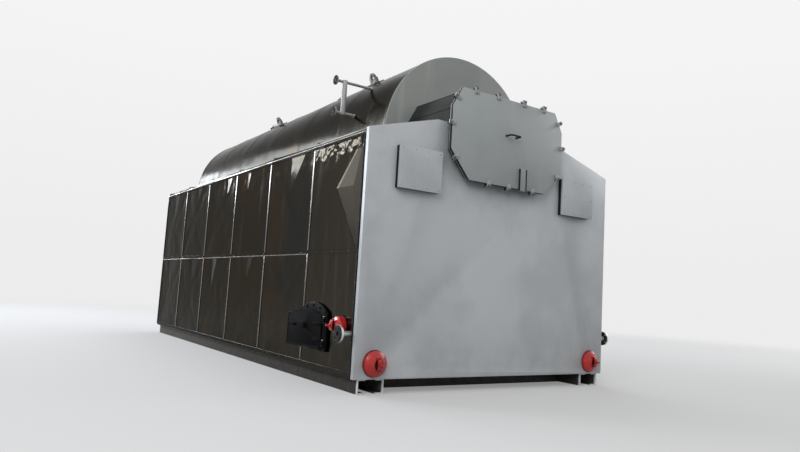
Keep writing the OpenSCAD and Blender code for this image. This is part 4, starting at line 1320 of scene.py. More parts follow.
@dataclass
class DrumCladding:
    """Rolled sheet courses round the drum, their lap bands and rivets, and the shell inside them."""

    bench: Bench
    front: float = 0.700
    rear: float = 6.800
    courses: int = 6
    steps: int = 144
    rows: int = 20
    sheet_r: float = 0.9685
    sheet_t: float = 0.012
    dent: float = 0.0042
    band_w: float = 0.034
    shell: Pair = (0.872, 0.952)
    seal_w: float = 0.012
    rivets: int = 52
    rivet_arc: Pair = (-6.0, 192.0)
    rivet_r: float = 0.004

    def build(self) -> None:
        """Builds shell, courses, bands and rivets."""
        self.courses_round()
        self.bands()
        bm = bmesh.new()
        a, b = self.shell
        place = aligned((0, at(self.front), DRUM_Z), (0, 1, 0))
        run = self.rear - self.front
        lathe(bm, [(a, 0.001), (b, 0.001), (b, run - 0.001), (a, run - 0.001)], place, 96)
        self.bench.piece("drum_shell", bm, "soot", Slot.DRUM_SHEET)
        seal = bmesh.new()
        for y, way in ((self.front, 1), (self.rear, -1)):
            ring(seal, aligned((0, at(y), DRUM_Z), (0, way, 0)), self.sheet_r - 0.01, DRUM_R - 0.0002, self.seal_w, 144)
        self.bench.piece("drum_end_seals", seal, "gasket", Slot.DRUM_SHEET)

    def courses_round(self) -> None:
        """Rolls the sheet courses, each with its own slight dents."""
        bm = bmesh.new()
        length = (self.rear - self.front) / self.courses
        for k in range(self.courses):
            part = bmesh.new()
            y0 = at(self.front + k * length)
            r, t = self.sheet_r, self.sheet_t
            outer = [(r, j * length / self.rows) for j in range(self.rows + 1)]
            lathe(part, outer + [(r - t, length), (r - t, 0.0)], aligned((0, y0, DRUM_Z), (0, 1, 0)), self.steps)
            for vert in part.verts:
                off = Vector((vert.co.x, 0, vert.co.z - DRUM_Z))
                if off.length > r - t / 2:
                    u = (vert.co.y - y0) / length
                    hold = min(1.0, 6 * min(u, 1 - u))
                    way = off.normalized()
                    soft = noise.noise(Vector((way.x * 2.6, vert.co.y * 1.4 + 3 * k, way.z * 2.6)))
                    fine = noise.noise(Vector((way.x * 7.0, vert.co.y * 4.5, way.z * 7.0 + k)))
                    dip = hold * max(0.0, self.dent * (0.45 + 0.75 * soft) + 0.0008 * fine)
                    vert.co = Vector((0, vert.co.y, DRUM_Z)) + way * (r - dip)
            join(bm, part)
        self.bench.piece("drum_sheet_courses", bm, "drum_sheet", Slot.DRUM_SHEET, smooth=0.7,
                         stands_for=("drum_jacket",))

    def bands(self) -> None:
        """Lays lap bands over the course joints and rivets along them."""
        bm, pins = bmesh.new(), bmesh.new()
        length = (self.rear - self.front) / self.courses
        for k in range(self.courses + 1):
            y = at(self.front + k * length)
            half = self.band_w / 2
            y = min(max(y, at(self.front) + self.seal_w + half), at(self.rear) - self.seal_w - half)
            r = self.sheet_r
            profile = [(r - 0.004, -half), (r + 0.0006, -half), (r + 0.0012, -half + 0.004), (r + 0.0012, -0.003),
                       (r + 0.0006, 0.0), (r + 0.0012, 0.003), (r + 0.0012, half - 0.004), (r + 0.0006, half),
                       (r - 0.004, half)]
            lathe(bm, profile, aligned((0, y, DRUM_Z), (0, 1, 0)), self.steps)
            for j in range(self.rivets if 0 < k < self.courses else 0):
                a = math.radians(self.rivet_arc[0] + j * self.rivet_arc[1] / (self.rivets - 1))
                way = Vector((math.cos(a), 0, math.sin(a)))
                foot = Vector((0, y + half * 0.55, DRUM_Z)) + way * (r + 0.0008)
                rivet(pins, foot, way, self.rivet_r)
        self.bench.piece("drum_lap_bands", bm, "drum_sheet", Slot.DRUM_SHEET)
        self.bench.piece("drum_rivets", pins, "drum_sheet", Slot.DRUM_SHEET)


@dataclass
class FrontAndRear:
    """Front plate with its corner folds, the drum's end discs, the rear plate and the insulated walls.

    Side bolts give their X, the lowest Z, the pitch and the count, foot bolts the first X, Z, pitch and count.
    """

    bench: Bench
    rear_ribs: tuple[float, ...] = (-1.15, 1.15)
    rib: Pair = (0.05, 0.03)
    rib_z: Pair = (0.42, 2.2)
    bar_z: Pair = (0.42, 1.2)
    bar_x: float = 1.1
    foot_t: float = 0.006
    web: float = 0.003
    ease: float = 0.0015
    side_bolts: tuple[float, float, float, int] = (1.505, 0.45, 0.17, 11)
    foot_bolts: tuple[float, float, float, int] = (-1.08, 0.19, 0.18, 13)
    bolt_d: float = 0.010
    bolt_sink: float = 0.0005
    disc_faces: Pair = (0.698, 6.802)
    disc_weld: float = 0.0045
    disc_weld_in: float = 0.005

    def build(self) -> None:
        """Builds the plates and dresses the walls."""
        bench = self.bench
        bench.eased("front_plate", "front_plate_folded", "front_paint", Slot.SILVER, 0.0022)
        bench.eased("drum_front_disc", "drum_front_plate", "disc_paint", Slot.SILVER, 0.004)
        bench.eased("drum_rear_disc", "drum_rear_plate", "disc_paint", Slot.SILVER, 0.004)
        bench.eased("rear_wall", "rear_wall_plate", "front_paint", Slot.LINING, 0.002)
        for node in ("left_wall_front", "left_wall_rear", "left_wall_lintel", "left_wall_cill", "right_wall",
                     "front_wall"):
            bench.eased(node, f"{node}_lining", "lining", Slot.LINING, 0.003)
        self.disc_welds()
        self.rear_stiffeners()

    def disc_welds(self) -> None:
        """Weld beads round the rims of the drum's end discs."""
        bm = bmesh.new()
        for y, way in zip(self.disc_faces, (1, -1)):
            bead(bm, aligned((0, at(y), DRUM_Z), (0, way, 0)), DRUM_R - self.disc_weld_in, self.disc_weld, 144)
        self.bench.piece("drum_disc_welds", bm, "disc_paint", Slot.SILVER)

    def rear_stiffeners(self) -> None:
        """Angle stiffeners and edge bolts on the rear plate."""
        bm, bolts = bmesh.new(), bmesh.new()
        y = at(CASING_L)
        w, d = self.rib
        (low, high), half = self.rib_z, self.bar_x
        for x in self.rear_ribs:
            block(bm, (x - w / 2, y - 0.001, low), (x + w / 2, y + self.foot_t, high), self.ease)
            block(bm, (x - self.web, y, low), (x + self.web, y + d, high), self.ease)
        for z in self.bar_z:
            block(bm, (-half, y - 0.001, z - w / 2), (half, y + self.foot_t, z + w / 2), self.ease)
            block(bm, (-half, y, z - self.web), (half, y + d, z + self.web), self.ease)
        x, z, pitch, count = self.side_bolts
        for side in SIDES.values():
            for k in range(count):
                bolt(bolts, (side * x, y - self.bolt_sink, z + k * pitch), (0, 1, 0), self.bolt_d)
        x, z, pitch, count = self.foot_bolts
        for k in range(count):
            bolt(bolts, (x + k * pitch, y - self.bolt_sink, z), (0, 1, 0), self.bolt_d)
        self.bench.piece("rear_stiffeners", bm, "front_paint", Slot.SILVER)
        self.bench.piece("rear_plate_bolts", bolts, "bolt", Slot.SILVER)


@dataclass
class SmokeBox:
    """Front smoke box: duct, flange, gasket, bolted cover with swing clamps, handle and strap."""

    bench: Bench
    outline: tuple[Pair, ...] = (
        (-0.496, 1.947), (0.496, 1.947), (0.725, 2.208), (0.725, 2.620), (0.615, 2.815), (-0.615, 2.815),
        (-0.725, 2.620), (-0.725, 2.208))
    cover_out: float = 0.090
    cover_t: float = 0.030
    flange_t: float = 0.012
    clamps: tuple[tuple[int, float], ...] = (
        (4, 0.13), (4, 0.36), (4, 0.64), (4, 0.87), (3, 0.45), (5, 0.55), (2, 0.6), (6, 0.4), (1, 0.75), (7, 0.25),
        (0, 0.24), (0, 0.5), (0, 0.83))
    handle: tuple[float, float, float, float] = (0.015, 0.130, 2.45, 0.07)
    strap: Trio = (0.182, 0.0475, 0.008)
    handle_r: float = 0.009
    handle_bend: float = 0.022
    gasket_out: float = 0.0010
    gasket_half: float = 0.0025
    duct_in: float = 0.030
    duct_rear: float = 0.684
    clamp_lug: Pair = (0.008, 0.015)
    clamp_bar: Pair = (0.021, 0.013)
    pin: Trio = (0.019, 0.0065, 0.004)
    swing_bolt: float = 0.012
    slack: float = 0.0005

    def build(self) -> None:
        """Builds every piece of the smoke box."""
        bench = self.bench
        # The duct walls take the near-black grey as painted shade.
        bench.eased("smoke_box_duct", "smoke_duct_walls", "duct_grey", Slot.SILVER, 0.003)
        bench.eased("smoke_box_flange", "smoke_box_rim", "cover_paint", Slot.SILVER, 0.0015)
        plate = bench.eased("smoke_box_cover", "smoke_box_door_plate", "cover_paint", Slot.SILVER, 0.003)
        # The cover's edge faces are painted near-black as painted shade.
        bench.repaint(plate, "duct_grey", lambda c: at(0.002) < c.y + self.cover_out < at(self.cover_t - 0.002))
        channel = bench.eased("cover_strap", "cover_strap_channel", "cover_paint", Slot.SILVER, 0.0015)
        x, half, t = self.strap
        # The strap's rib sides are painted near-black as painted shade.
        bench.repaint(channel, "duct_grey",
                      lambda c: min(abs(abs(c.x - x) - half), abs(abs(c.x - x) - half + t)) < 0.0008)
        self.gasket()
        self.swing_clamps()
        self.grip()
        self.duct_welds()

    def grown(self, distance: float) -> list[Pair]:
        """Moves the cover's outline outwards.

        Args:
            distance: How far.

        Returns:
            The new corners.
        """
        pts = [Vector(p) for p in self.outline]
        found = []
        for k, p in enumerate(pts):
            u = (p - pts[k - 1]).normalized()
            v = (pts[(k + 1) % len(pts)] - p).normalized()
            m, n = Vector((u.y, -u.x)), Vector((v.y, -v.x))
            q = p + (m + n) * (distance / (1 + m.dot(n)))
            found.append((q.x, q.y))
        return found

    def gasket(self) -> None:
        """A compressed rope gasket between flange and cover."""
        bm = bmesh.new()
        joint = at(-self.cover_out + self.cover_t)
        slab(bm, self.grown(self.gasket_out), joint - self.gasket_half, joint + self.gasket_half, 0.0008)
        self.bench.piece("cover_gasket", bm, "gasket", Slot.SILVER)

    def duct_welds(self) -> None:
        """Weld beads along the duct's corners and round its foot on the front plate."""
        bm = bmesh.new()
        duct = self.grown(-self.duct_in)
        rear, front = at(self.duct_rear), at(-self.cover_out + self.cover_t + self.flange_t)
        for k, (x, z) in enumerate(duct):
            nx, nz = duct[(k + 1) % len(duct)]
            rod(bm, (x, front, z), (nx, front, nz), 0.004, 8)
            if k >= 2:
                rod(bm, (x, front, z), (x, rear, z), 0.0035, 8)
            if k in (0, 1, 7):
                rod(bm, (x, at(-0.001), z), (nx, at(-0.001), nz), 0.0045, 8)
        # The duct's weld beads take the near-black grey as painted shade.
        self.bench.piece("duct_welds", bm, "duct_grey", Slot.SILVER)

    def swing_clamps(self) -> None:
        """Swing bolts in lugs on the flange, each with a forged clamp bar and a nut."""
        bars, bolts = bmesh.new(), bmesh.new()
        cover, back = at(-self.cover_out), at(-self.cover_out + self.cover_t + self.flange_t)
        half, thick = self.clamp_bar
        out, deep, pin_r = self.pin
        for edge, share in self.clamps:
            a, b = Vector(self.outline[edge]), Vector(self.outline[(edge + 1) % len(self.outline)])
            p, u = a.lerp(b, share), (b - a).normalized()
            n = Vector((u.y, -u.x))
            place = Matrix(((u.x, n.x, 0, p.x), (0, 0, 1, 0), (u.y, n.y, 0, p.y), (0, 0, 0, 1)))
            for s in (-1, 1):
                low, high = sorted(s * reach for reach in self.clamp_lug)
                block(bars, (low, -0.004, back - thick), (high, 0.033, back), 0.0015, place)
            block(bars, (-half, -0.030, cover - thick), (half, 0.035, cover - 0.001), 0.002, place)
            block(bars, (-half, 0.025, cover - thick), (half, 0.035, cover + 0.012), 0.002, place)
            axis = place @ Vector((0, out, back - deep))
            along = place.to_3x3() @ Vector((1, 0, 0))
            rod(bolts, axis - along * out, axis + along * out, pin_r, 12, 0.0006)
            rod(bolts, axis, axis + Vector((0, cover - 0.032 - axis.y, 0)), self.swing_bolt / 2, 14, 0.001)
            bolt(bolts, axis + Vector((0, cover - thick - axis.y, 0)), (0, -1, 0), self.swing_bolt)
        made = self.bench.piece("cover_clamp_bars", bars, "pipe_grey", Slot.PIPE, stands_for=("cover_clamps",))
        # The lugs behind the cover are painted near-black as painted shade.
        self.bench.repaint(made, "duct_grey", lambda c: c.y > back - thick - self.slack)
        self.bench.piece("cover_swing_bolts", bolts, "bolt", Slot.PIPE)

    def grip(self) -> None:
        """The bent bar handle with its weld beads."""
        x, w, z, reach = self.handle
        face = at(-self.cover_out)
        foot, out = face + 0.002, face - reach
        a, b = x - w / 2, x + w / 2
        bm = tube("handle_line", [(a, foot, z), (a, out, z), (b, out, z), (b, foot, z)], self.handle_r,
                  self.handle_bend)
        for side in (a, b):
            bead(bm, aligned((side, face, z), (0, -1, 0)), self.handle_r + 0.001, 0.003, 20)
        # The whole grab bar takes the near-black grey as painted shade.
        self.bench.piece("cover_grab_bar", bm, "duct_grey", Slot.SILVER, stands_for=("cover_handle",))


@dataclass
class Hatches:
    """Two bolted inspection covers that stand off the front plate on frames painted near-black as the shadow in the
    gap.
    """

    bench: Bench
    x: float = 1.030
    z: float = 1.968
    size: Pair = (0.466, 0.384)
    face: float = -0.066
    bolt_in: float = 0.026
    bolt_d: float = 0.0055
    spots: tuple[Pair, ...] = (
        (-1, -1), (-0.33, -1), (0.33, -1), (1, -1), (-1, 0), (1, 0), (-1, 1), (-0.33, 1), (0.33, 1), (1, 1))

    def build(self) -> None:
        """Builds frames, covers and bolts."""
        # The frames take the near-black gasket finish, which paints the shadow in the gap behind each cover.
        self.bench.eased("hatch_frames", "hatch_frame_bars", "gasket", Slot.SILVER, 0.0015)
        self.bench.eased("hatch_covers", "hatch_cover_plates", "front_paint", Slot.SILVER, 0.002)
        bm = bmesh.new()
        w, h = self.size[0] / 2 - self.bolt_in, self.size[1] / 2 - self.bolt_in
        for side in SIDES.values():
            for dx, dz in self.spots:
                bolt(bm, (side * self.x + dx * w, at(self.face) + 0.0003, self.z + dz * h), (0, -1, 0), self.bolt_d)
        self.bench.piece("hatch_bolts", bm, "cover_paint", Slot.SILVER)


@dataclass
class Headers:
    """Red collecting headers with oval hand-hole lids, forged yokes and their bolts."""

    bench: Bench
    lower_x: float = 1.359
    lower_z: float = 0.2555
    lower_r: float = 0.1095
    lower_stub: float = 0.028
    lower_dome: float = 0.040
    cross_y: float = 0.250
    cross_z: float = 0.552
    cross_r: float = 0.0795
    cross_stub: float = 0.052
    cross_dome: float = 0.028
    boss: Pair = (0.042, 0.008)
    yoke: Trio = (0.128, 0.040, 0.014)
    lid_t: float = 0.010
    bolt_d: float = 0.018
    bolt_l: float = 0.044
    seal_in: float = 0.002
    lower_seal: Pair = (0.006, 0.003)
    cross_seal: Pair = (0.012, 0.004)

    def build(self) -> None:
        """Builds header tubes, lids, yokes and seal rings."""
        self.bench.eased("lower_headers", "lower_header_tubes", "red", Slot.RED, 0.0012, angle=0.5)
        self.bench.eased("cross_header", "cross_header_tube", "red", Slot.RED, 0.0012, angle=0.5)
        lids, yokes, rings = bmesh.new(), bmesh.new(), bmesh.new()
        reach = CASING_L / 2 + self.lower_stub + self.lower_dome + self.boss[1]
        middle = at(CASING_L / 2)
        for side in SIDES.values():
            for way in (-1, 1):
                self.hand_hole(lids, yokes, (side * self.lower_x, middle + way * reach, self.lower_z), (0, way, 0))
                face = at(0) if way < 0 else at(CASING_L)
                ring(rings, aligned((side * self.lower_x, face, self.lower_z), (0, way, 0)),
                     self.lower_r - self.seal_in, self.lower_r + self.lower_seal[0], self.lower_seal[1], 64)
            out = HALF_W + self.cross_stub + self.cross_dome + self.boss[1]
            self.hand_hole(lids, yokes, (side * out, at(self.cross_y), self.cross_z), (side, 0, 0))
            ring(rings, aligned((side * (HALF_W - self.seal_in), at(self.cross_y), self.cross_z), (side, 0, 0)),
                 self.cross_r - self.seal_in, self.cross_r + self.cross_seal[0], self.cross_seal[1], 56)
        self.bench.piece("hand_hole_lids", lids, "iron", Slot.RED)
        self.bench.piece("hand_hole_yoke_bars", yokes, "red", Slot.RED, stands_for=("hand_hole_yokes",))
        self.bench.piece("header_seal_rings", rings, "gasket", Slot.RED)

    def hand_hole(self, lids: Mesh, yokes: Mesh, face: Point, way: Point) -> None:
        """Adds one hand hole's lid, yoke, stud and nut.

        Args:
            lids: Mesh of the dark lids.
            yokes: Mesh of the red yokes.
            face: Middle of the boss face.
            way: Direction of the header's end.
        """
        place = aligned(face, way)
        upright = place.inverted().to_3x3() @ Vector((0, 0, 1))
        place = place @ Matrix.Rotation(math.atan2(upright.y, upright.x) - math.pi / 2, 4, "Z")
        oval = bmesh.new()
        lathe(oval, [(0, -0.001), (0.037, -0.001), (0.039, 0.001), (0.039, self.lid_t - 0.003),
                     (0.036, self.lid_t), (0, self.lid_t)], Matrix.Diagonal((1.0, 1.4, 1.0, 1.0)), 36, False)
        bmesh.ops.transform(oval, matrix=place, verts=oval.verts)
        join(lids, oval)
        length, width, thick = self.yoke
        low = self.lid_t
        block(yokes, (-width / 2, -length * 0.30, low + 0.003), (width / 2, length * 0.30, low + thick), 0.003, place)
        for s in (-1, 1):
            bend = place @ Matrix.Translation((0, s * length * 0.26, low + thick - 0.0035)) @ Matrix.Rotation(
                -s * 0.72, 4, "X")
            near, far = sorted((0.0, s * length * 0.29))
            block(yokes, (-width / 2, near, -0.0095), (width / 2, far, 0.0), 0.003, bend)
        top = place @ Vector((0, 0, low + thick))
        way = Vector(way)
        rod(yokes, place @ Vector((0, 0, 0)), top + way * self.bolt_l, self.bolt_d / 2, 20, 0.003)
        bolt(yokes, top, way, self.bolt_d)


@dataclass
class Blowdown:
    """Blow-down nozzles with zinc flanges, raised faces and welds."""

    bench: Bench
    y: float = 0.082
    z: float = 0.495
    face_x: float = 1.683
    flange: Pair = (0.075, 0.018)
    pipe_r: float = 0.024
    bore_r: float = 0.0195
    bore_shade_reach: float = 0.003
    raised: Pair = (0.044, 0.0022)
    weld: float = 0.0035

    def build(self) -> None:
        """Builds nozzles, raised faces and weld beads."""
        ends = self.bench.eased("blowdown_nozzles", "blowdown_pipe_ends", "zinc", Slot.ZINC, 0.0012)
        middle = Vector((at(self.y), self.z))
        front = self.face_x - self.flange[1] - 0.001
        # The flange's outer face takes the dark scale finish; the bore's walls and closed end take it too, as painted
        # shade inside the pipe.
        self.bench.repaint(ends, "scale", lambda c: (c.yz - middle).length < (
            self.flange[0] - 0.005 if abs(c.x) > front else self.bore_r + self.bore_shade_reach))
        faces, welds = bmesh.new(), bmesh.new()
        for side in SIDES.values():
            face = (side * (self.face_x - 0.0005), at(self.y), self.z)
            ring(faces, aligned(face, (side, 0, 0)), self.bore_r + 0.001, *self.raised, 48, 0.0006)
            back = (side * (self.face_x - self.flange[1]), at(self.y), self.z)
            bead(welds, aligned(back, (side, 0, 0)), self.pipe_r + 0.001, self.weld, 32)
        self.bench.piece("blowdown_gasket_faces", faces, "scale", Slot.ZINC)
        self.bench.piece("blowdown_welds", welds, "zinc", Slot.ZINC)


@dataclass
class FireDoors:
    """Cast fire doors: arched frames with bolts, leaves with straps, knob and latch; the left leaf swings.

    A strap gives its reach and half height, the knob's ring its radii and height, the latch its two distances from
    the leaf's free edge and its half height.
    """

    bench: Bench
    hinge: Pair = (1.591, 0.520)
    ajar: float = 12.0
    frame_y: Pair = (0.490, 1.050)
    frame_z: Pair = (0.300, 0.640)
    arch: float = 0.095
    frame_t: float = 0.020
    leaf_y: Pair = (0.539, 1.040)
    leaf_z: Pair = (0.326, 0.618)
    leaf_t: float = 0.020
    leaf_arch: float = 0.050
    knob: Pair = (0.780, 0.520)
    knob_ring: Trio = (0.016, 0.030, 0.010)
    strap: Pair = (0.11, 0.016)
    strap_in: float = 0.075
    latch: Trio = (0.13, 0.032, 0.011)
    bead_r: float = 0.006
    rivet_r: float = 0.007
    frame_bolt: float = 0.011

    def build(self) -> None:
        """Builds both doors."""
        bench = self.bench
        bench.eased("fire_door_frame", "fire_door_casting", "iron", Slot.IRON, 0.004)
        bench.eased("fire_door_leaf", "fire_door_plate", "iron", Slot.IRON, 0.003, Body.FIRE_DOOR)
        bench.eased("fire_door_pins", "fire_door_hinge_pins", "zinc", Slot.IRON, 0.001)
        bench.eased("right_door_frame", "right_door_casting", "iron", Slot.IRON, 0.004)
        bench.eased("right_door_leaf", "right_door_plate", "iron", Slot.IRON, 0.003)
        hinge = Matrix.Translation((-self.hinge[0], at(self.hinge[1]), 0))
        swung = hinge @ Matrix.Rotation(math.radians(self.ajar), 4, "Z") @ hinge.inverted()
        mirror = Matrix.Diagonal((-1.0, 1.0, 1.0, 1.0))
        self.leaf_details("fire_door", swung, Body.FIRE_DOOR)
        self.leaf_details("right_door", mirror, Body.BOILER)
        self.frame_details("fire_door", Matrix.Identity(4))
        self.frame_details("right_door", mirror)

    def arched_line(self, bm: Mesh, x: float, y: Pair, z: Pair, rise: float, inset: float) -> None:
        """Lays a round bead along an arched outline.

        Args:
            bm: The mesh that it joins.
            x: Where the bead's axis lies.
            y: The outline's two sides.
            z: Its foot and the height where its arch begins.
            rise: The arch's height.
            inset: From the outline to the bead's axis.
        """
        half, middle = (y[1] - y[0]) / 2, (y[0] + y[1]) / 2
        radius = (half * half + rise * rise) / (2 * rise)
        centre, bend = z[1] + rise - radius, radius - inset
        spread = math.asin((half - inset) / bend)
        turns = [spread * k / 12 for k in range(-12, 13)]
        arc = [(x, middle + bend * math.sin(a), centre + bend * math.cos(a)) for a in turns]
        line = [(x, y[0] + inset, z[0] + inset), *arc, (x, y[1] - inset, z[0] + inset)]
        for k, spot in enumerate(line):
            rod(bm, line[k - 1], spot, self.bead_r, 8)

    def leaf_details(self, name: str, place: Matrix, body: Body) -> None:
        """Edge bead, hinge straps, rivets, knob ring and latch of one leaf.

        Args:
            name: Start of the pieces' names.
            place: From the closed left door to where the leaf stands.
            body: The body that the leaf moves with.
        """
        ribs, pins = bmesh.new(), bmesh.new()
        face = -self.hinge[0] - self.leaf_t / 2
        y0, y1 = (at(v) for v in self.leaf_y)
        self.arched_line(ribs, face + 0.0035, (y0, y1), self.leaf_z, self.leaf_arch, 0.010)
        for z in (self.leaf_z[0] + self.strap_in, self.leaf_z[1] - self.strap_in):
            reach, half = self.strap
            block(ribs, (face - 0.006, y0 - 0.006, z - half), (face + 0.001, y0 + reach, z + half), 0.003)
            for k in range(2):
                rivet(pins, (face - 0.0058, y0 + 0.04 + k * 0.045, z), (-1, 0, 0), self.rivet_r)
        knob_y, knob_z = at(self.knob[0]), self.knob[1]
        ring(ribs, aligned((face - 0.012, knob_y, knob_z), (-1, 0, 0)), *self.knob_ring, 32, 0.003)
        far, near, half = self.latch
        block(ribs, (face - 0.0070, y1 - far, knob_z - half), (face + 0.001, y1 - near, knob_z + half), 0.003)
        rod(ribs, (face - 0.001, y1 - 0.11, knob_z), (face - 0.014, y1 - 0.11, knob_z), 0.010, 18, 0.002)
        for bm in (ribs, pins):
            bmesh.ops.transform(bm, matrix=place, verts=bm.verts)
        self.bench.piece(f"{name}_ribs", ribs, "iron", Slot.IRON, body)
        self.bench.piece(f"{name}_rivets", pins, "iron", Slot.IRON, body)

    def frame_details(self, name: str, place: Matrix) -> None:
        """Edge bead and fixing bolts of one frame.

        Args:
            name: Start of the pieces' names.
            place: From the left door to where the frame stands.
        """
        bolts, rim = bmesh.new(), bmesh.new()
        face = -HALF_W - self.frame_t
        y0, y1 = (at(v) for v in self.frame_y)
        z1 = self.frame_z[1]
        crown = z1 + self.arch
        middle = (y0 + y1) / 2
        for y, z in ((y0 + 0.035, z1 + 0.012), (middle - 0.13, crown - 0.048), (middle + 0.13, crown - 0.048),
                     (y1 - 0.035, z1 + 0.012), (middle, crown - 0.030)):
            bolt(bolts, (face + 0.0005, y, z), (-1, 0, 0), self.frame_bolt)
        self.arched_line(rim, face + 0.003, (y0, y1), self.frame_z, self.arch, self.bead_r)
        for bm in (bolts, rim):
            bmesh.ops.transform(bm, matrix=place, verts=bm.verts)
        self.bench.piece(f"{name}_frame_bolts", bolts, "iron", Slot.IRON)
        self.bench.piece(f"{name}_frame_bead", rim, "iron", Slot.IRON)


@dataclass
class DrumFittings:
    """Water column pipes, lifting lugs, top nozzles, manhole and flue outlet, with welds and fixings.

    Each weld gives the radius of its circle and of its bead.
    """

    bench: Bench
    column_y: float = 1.420
    column_z: Pair = (3.117, 2.766)
    column_foot: Pair = (0.0185, 0.004)
    column_neck: Pair = (0.0165, 0.003)
    flange_x: float = 1.182
    lug_y: Pair = (1.740, 4.470)
    lug_angle: float = 30.0
    lug_pad: Pair = (0.150, 0.180)
    lug_plate: Trio = (0.0135, 0.075, 0.013)
    lug_weld: float = 0.005
    steam_y: float = 3.300
    steam_weld: Pair = (0.085, 0.007)
    safety_y: Pair = (2.300, 2.720)
    safety_weld: Pair = (0.048, 0.006)
    manhole_y: float = 5.450
    manhole_weld: Pair = (0.200, 0.008)
    manhole_top: float = 3.531
    studs: int = 16
    stud_circle: float = 0.215
    stud: Pair = (0.014, 0.008)
    lid_rib: Trio = (0.150, 0.176, 0.005)
    flue_y: float = 6.814
    flue_z: float = 2.771
    flue_weld: Pair = (0.311, 0.006)

    def build(self) -> None:
        """Builds every fitting on the drum."""
        bench = self.bench
        pipes = bench.eased("water_columns", "water_column_pipes", "pipe_grey", Slot.PIPE, 0.001)
        bench.repaint(pipes, "gasket", lambda c: abs(c.x) > self.flange_x - 0.0004)
        bench.eased("lifting_lugs", "lifting_lug_plates", "lug", Slot.LUG, 0.002)
        bench.eased("steam_outlet", "steam_outlet_nozzle", "pipe_grey", Slot.PIPE, 0.0015)
        bench.eased("safety_nozzles", "safety_valve_nozzles", "pipe_grey", Slot.PIPE, 0.0015)
        bench.eased("manhole", "manhole_neck_and_lid", "pipe_grey", Slot.PIPE, 0.0025)
        bench.eased("flue_outlet", "flue_outlet_collar", "disc_paint", Slot.SILVER, 0.0015)
        self.welds()
        self.manhole_fixings()

    @staticmethod
    def on_drum(bm: Mesh, y0: float, radius: float, thickness: float) -> None:
        """A weld bead where an upright pipe meets the top of the drum.

        Args:
            bm: The mesh that it joins.
            y0: The pipe's distance from the front plate.
            radius: The pipe's outer radius.
            thickness: The bead's radius.
        """
        part = bmesh.new()
        bead(part, Matrix.Identity(4), radius, thickness, 48)
        for vert in part.verts:
            x = vert.co.x
            vert.co = Vector((x, at(y0) + vert.co.y, DRUM_Z + math.sqrt(DRUM_R ** 2 - x * x) + vert.co.z))
        join(bm, part)

    def welds(self) -> None:
        """Weld beads of nozzles, pipes, pads and the flue outlet."""
        grey, lug = bmesh.new(), bmesh.new()
        self.on_drum(grey, self.steam_y, *self.steam_weld)
        for y in self.safety_y:
            self.on_drum(grey, y, *self.safety_weld)
        self.on_drum(grey, self.manhole_y, *self.manhole_weld)
        for side in SIDES.values():
            for z in self.column_z:
                touch = math.sqrt(DRUM_R ** 2 - (z - DRUM_Z) ** 2)
                slant = Vector((side * touch, at(self.column_y), z))
                way = Vector((side * touch, 0, z - DRUM_Z)).normalized()
                bead(grey, aligned(slant, way), *self.column_foot, 28)
                neck = (side * (self.flange_x - 0.014), at(self.column_y), z)
                bead(grey, aligned(neck, (side, 0, 0)), *self.column_neck, 24)
        for y in self.lug_y:
            for side in SIDES.values():
                turn = (Matrix.Translation((0, at(y), DRUM_Z))
                        @ Matrix.Rotation(math.radians(side * self.lug_angle), 4, "Y"))
                w, l = self.lug_pad[0] / 2, self.lug_pad[1] / 2
                half, reach, rise = self.lug_plate
                for x, run, z in ((half, reach, DRUM_R + rise), (w, l, math.sqrt(DRUM_R ** 2 - w * w))):
                    for s in (-1, 1):
                        rod(lug, turn @ Vector((s * x, -run, z)), turn @ Vector((s * x, run, z)), self.lug_weld, 10,
                            0.001)
        bead(grey, aligned((0, at(self.flue_y), self.flue_z), (0, 1, 0)), *self.flue_weld, 96)
        self.bench.piece("pipe_welds", grey, "pipe_grey", Slot.PIPE)
        self.bench.piece("lug_welds", lug, "lug", Slot.LUG)

    def manhole_fixings(self) -> None:
        """Studs and the raised rib of the manhole's lid."""
        bolts, extra = bmesh.new(), bmesh.new()
        r, y, top = self.stud_circle, at(self.manhole_y), self.manhole_top - 0.0005
        for k in range(self.studs):
            a = (k + 0.5) * 2 * math.pi / self.studs
            bolt(bolts, (r * math.cos(a), y + r * math.sin(a), top), (0, 0, 1), *self.stud)
        ring(extra, aligned((0, y, top), (0, 0, 1)), *self.lid_rib, 64, 0.0015)
        self.bench.piece("manhole_studs", bolts, "bolt", Slot.PIPE)
        self.bench.piece("manhole_lid_rib", extra, "pipe_grey", Slot.PIPE)


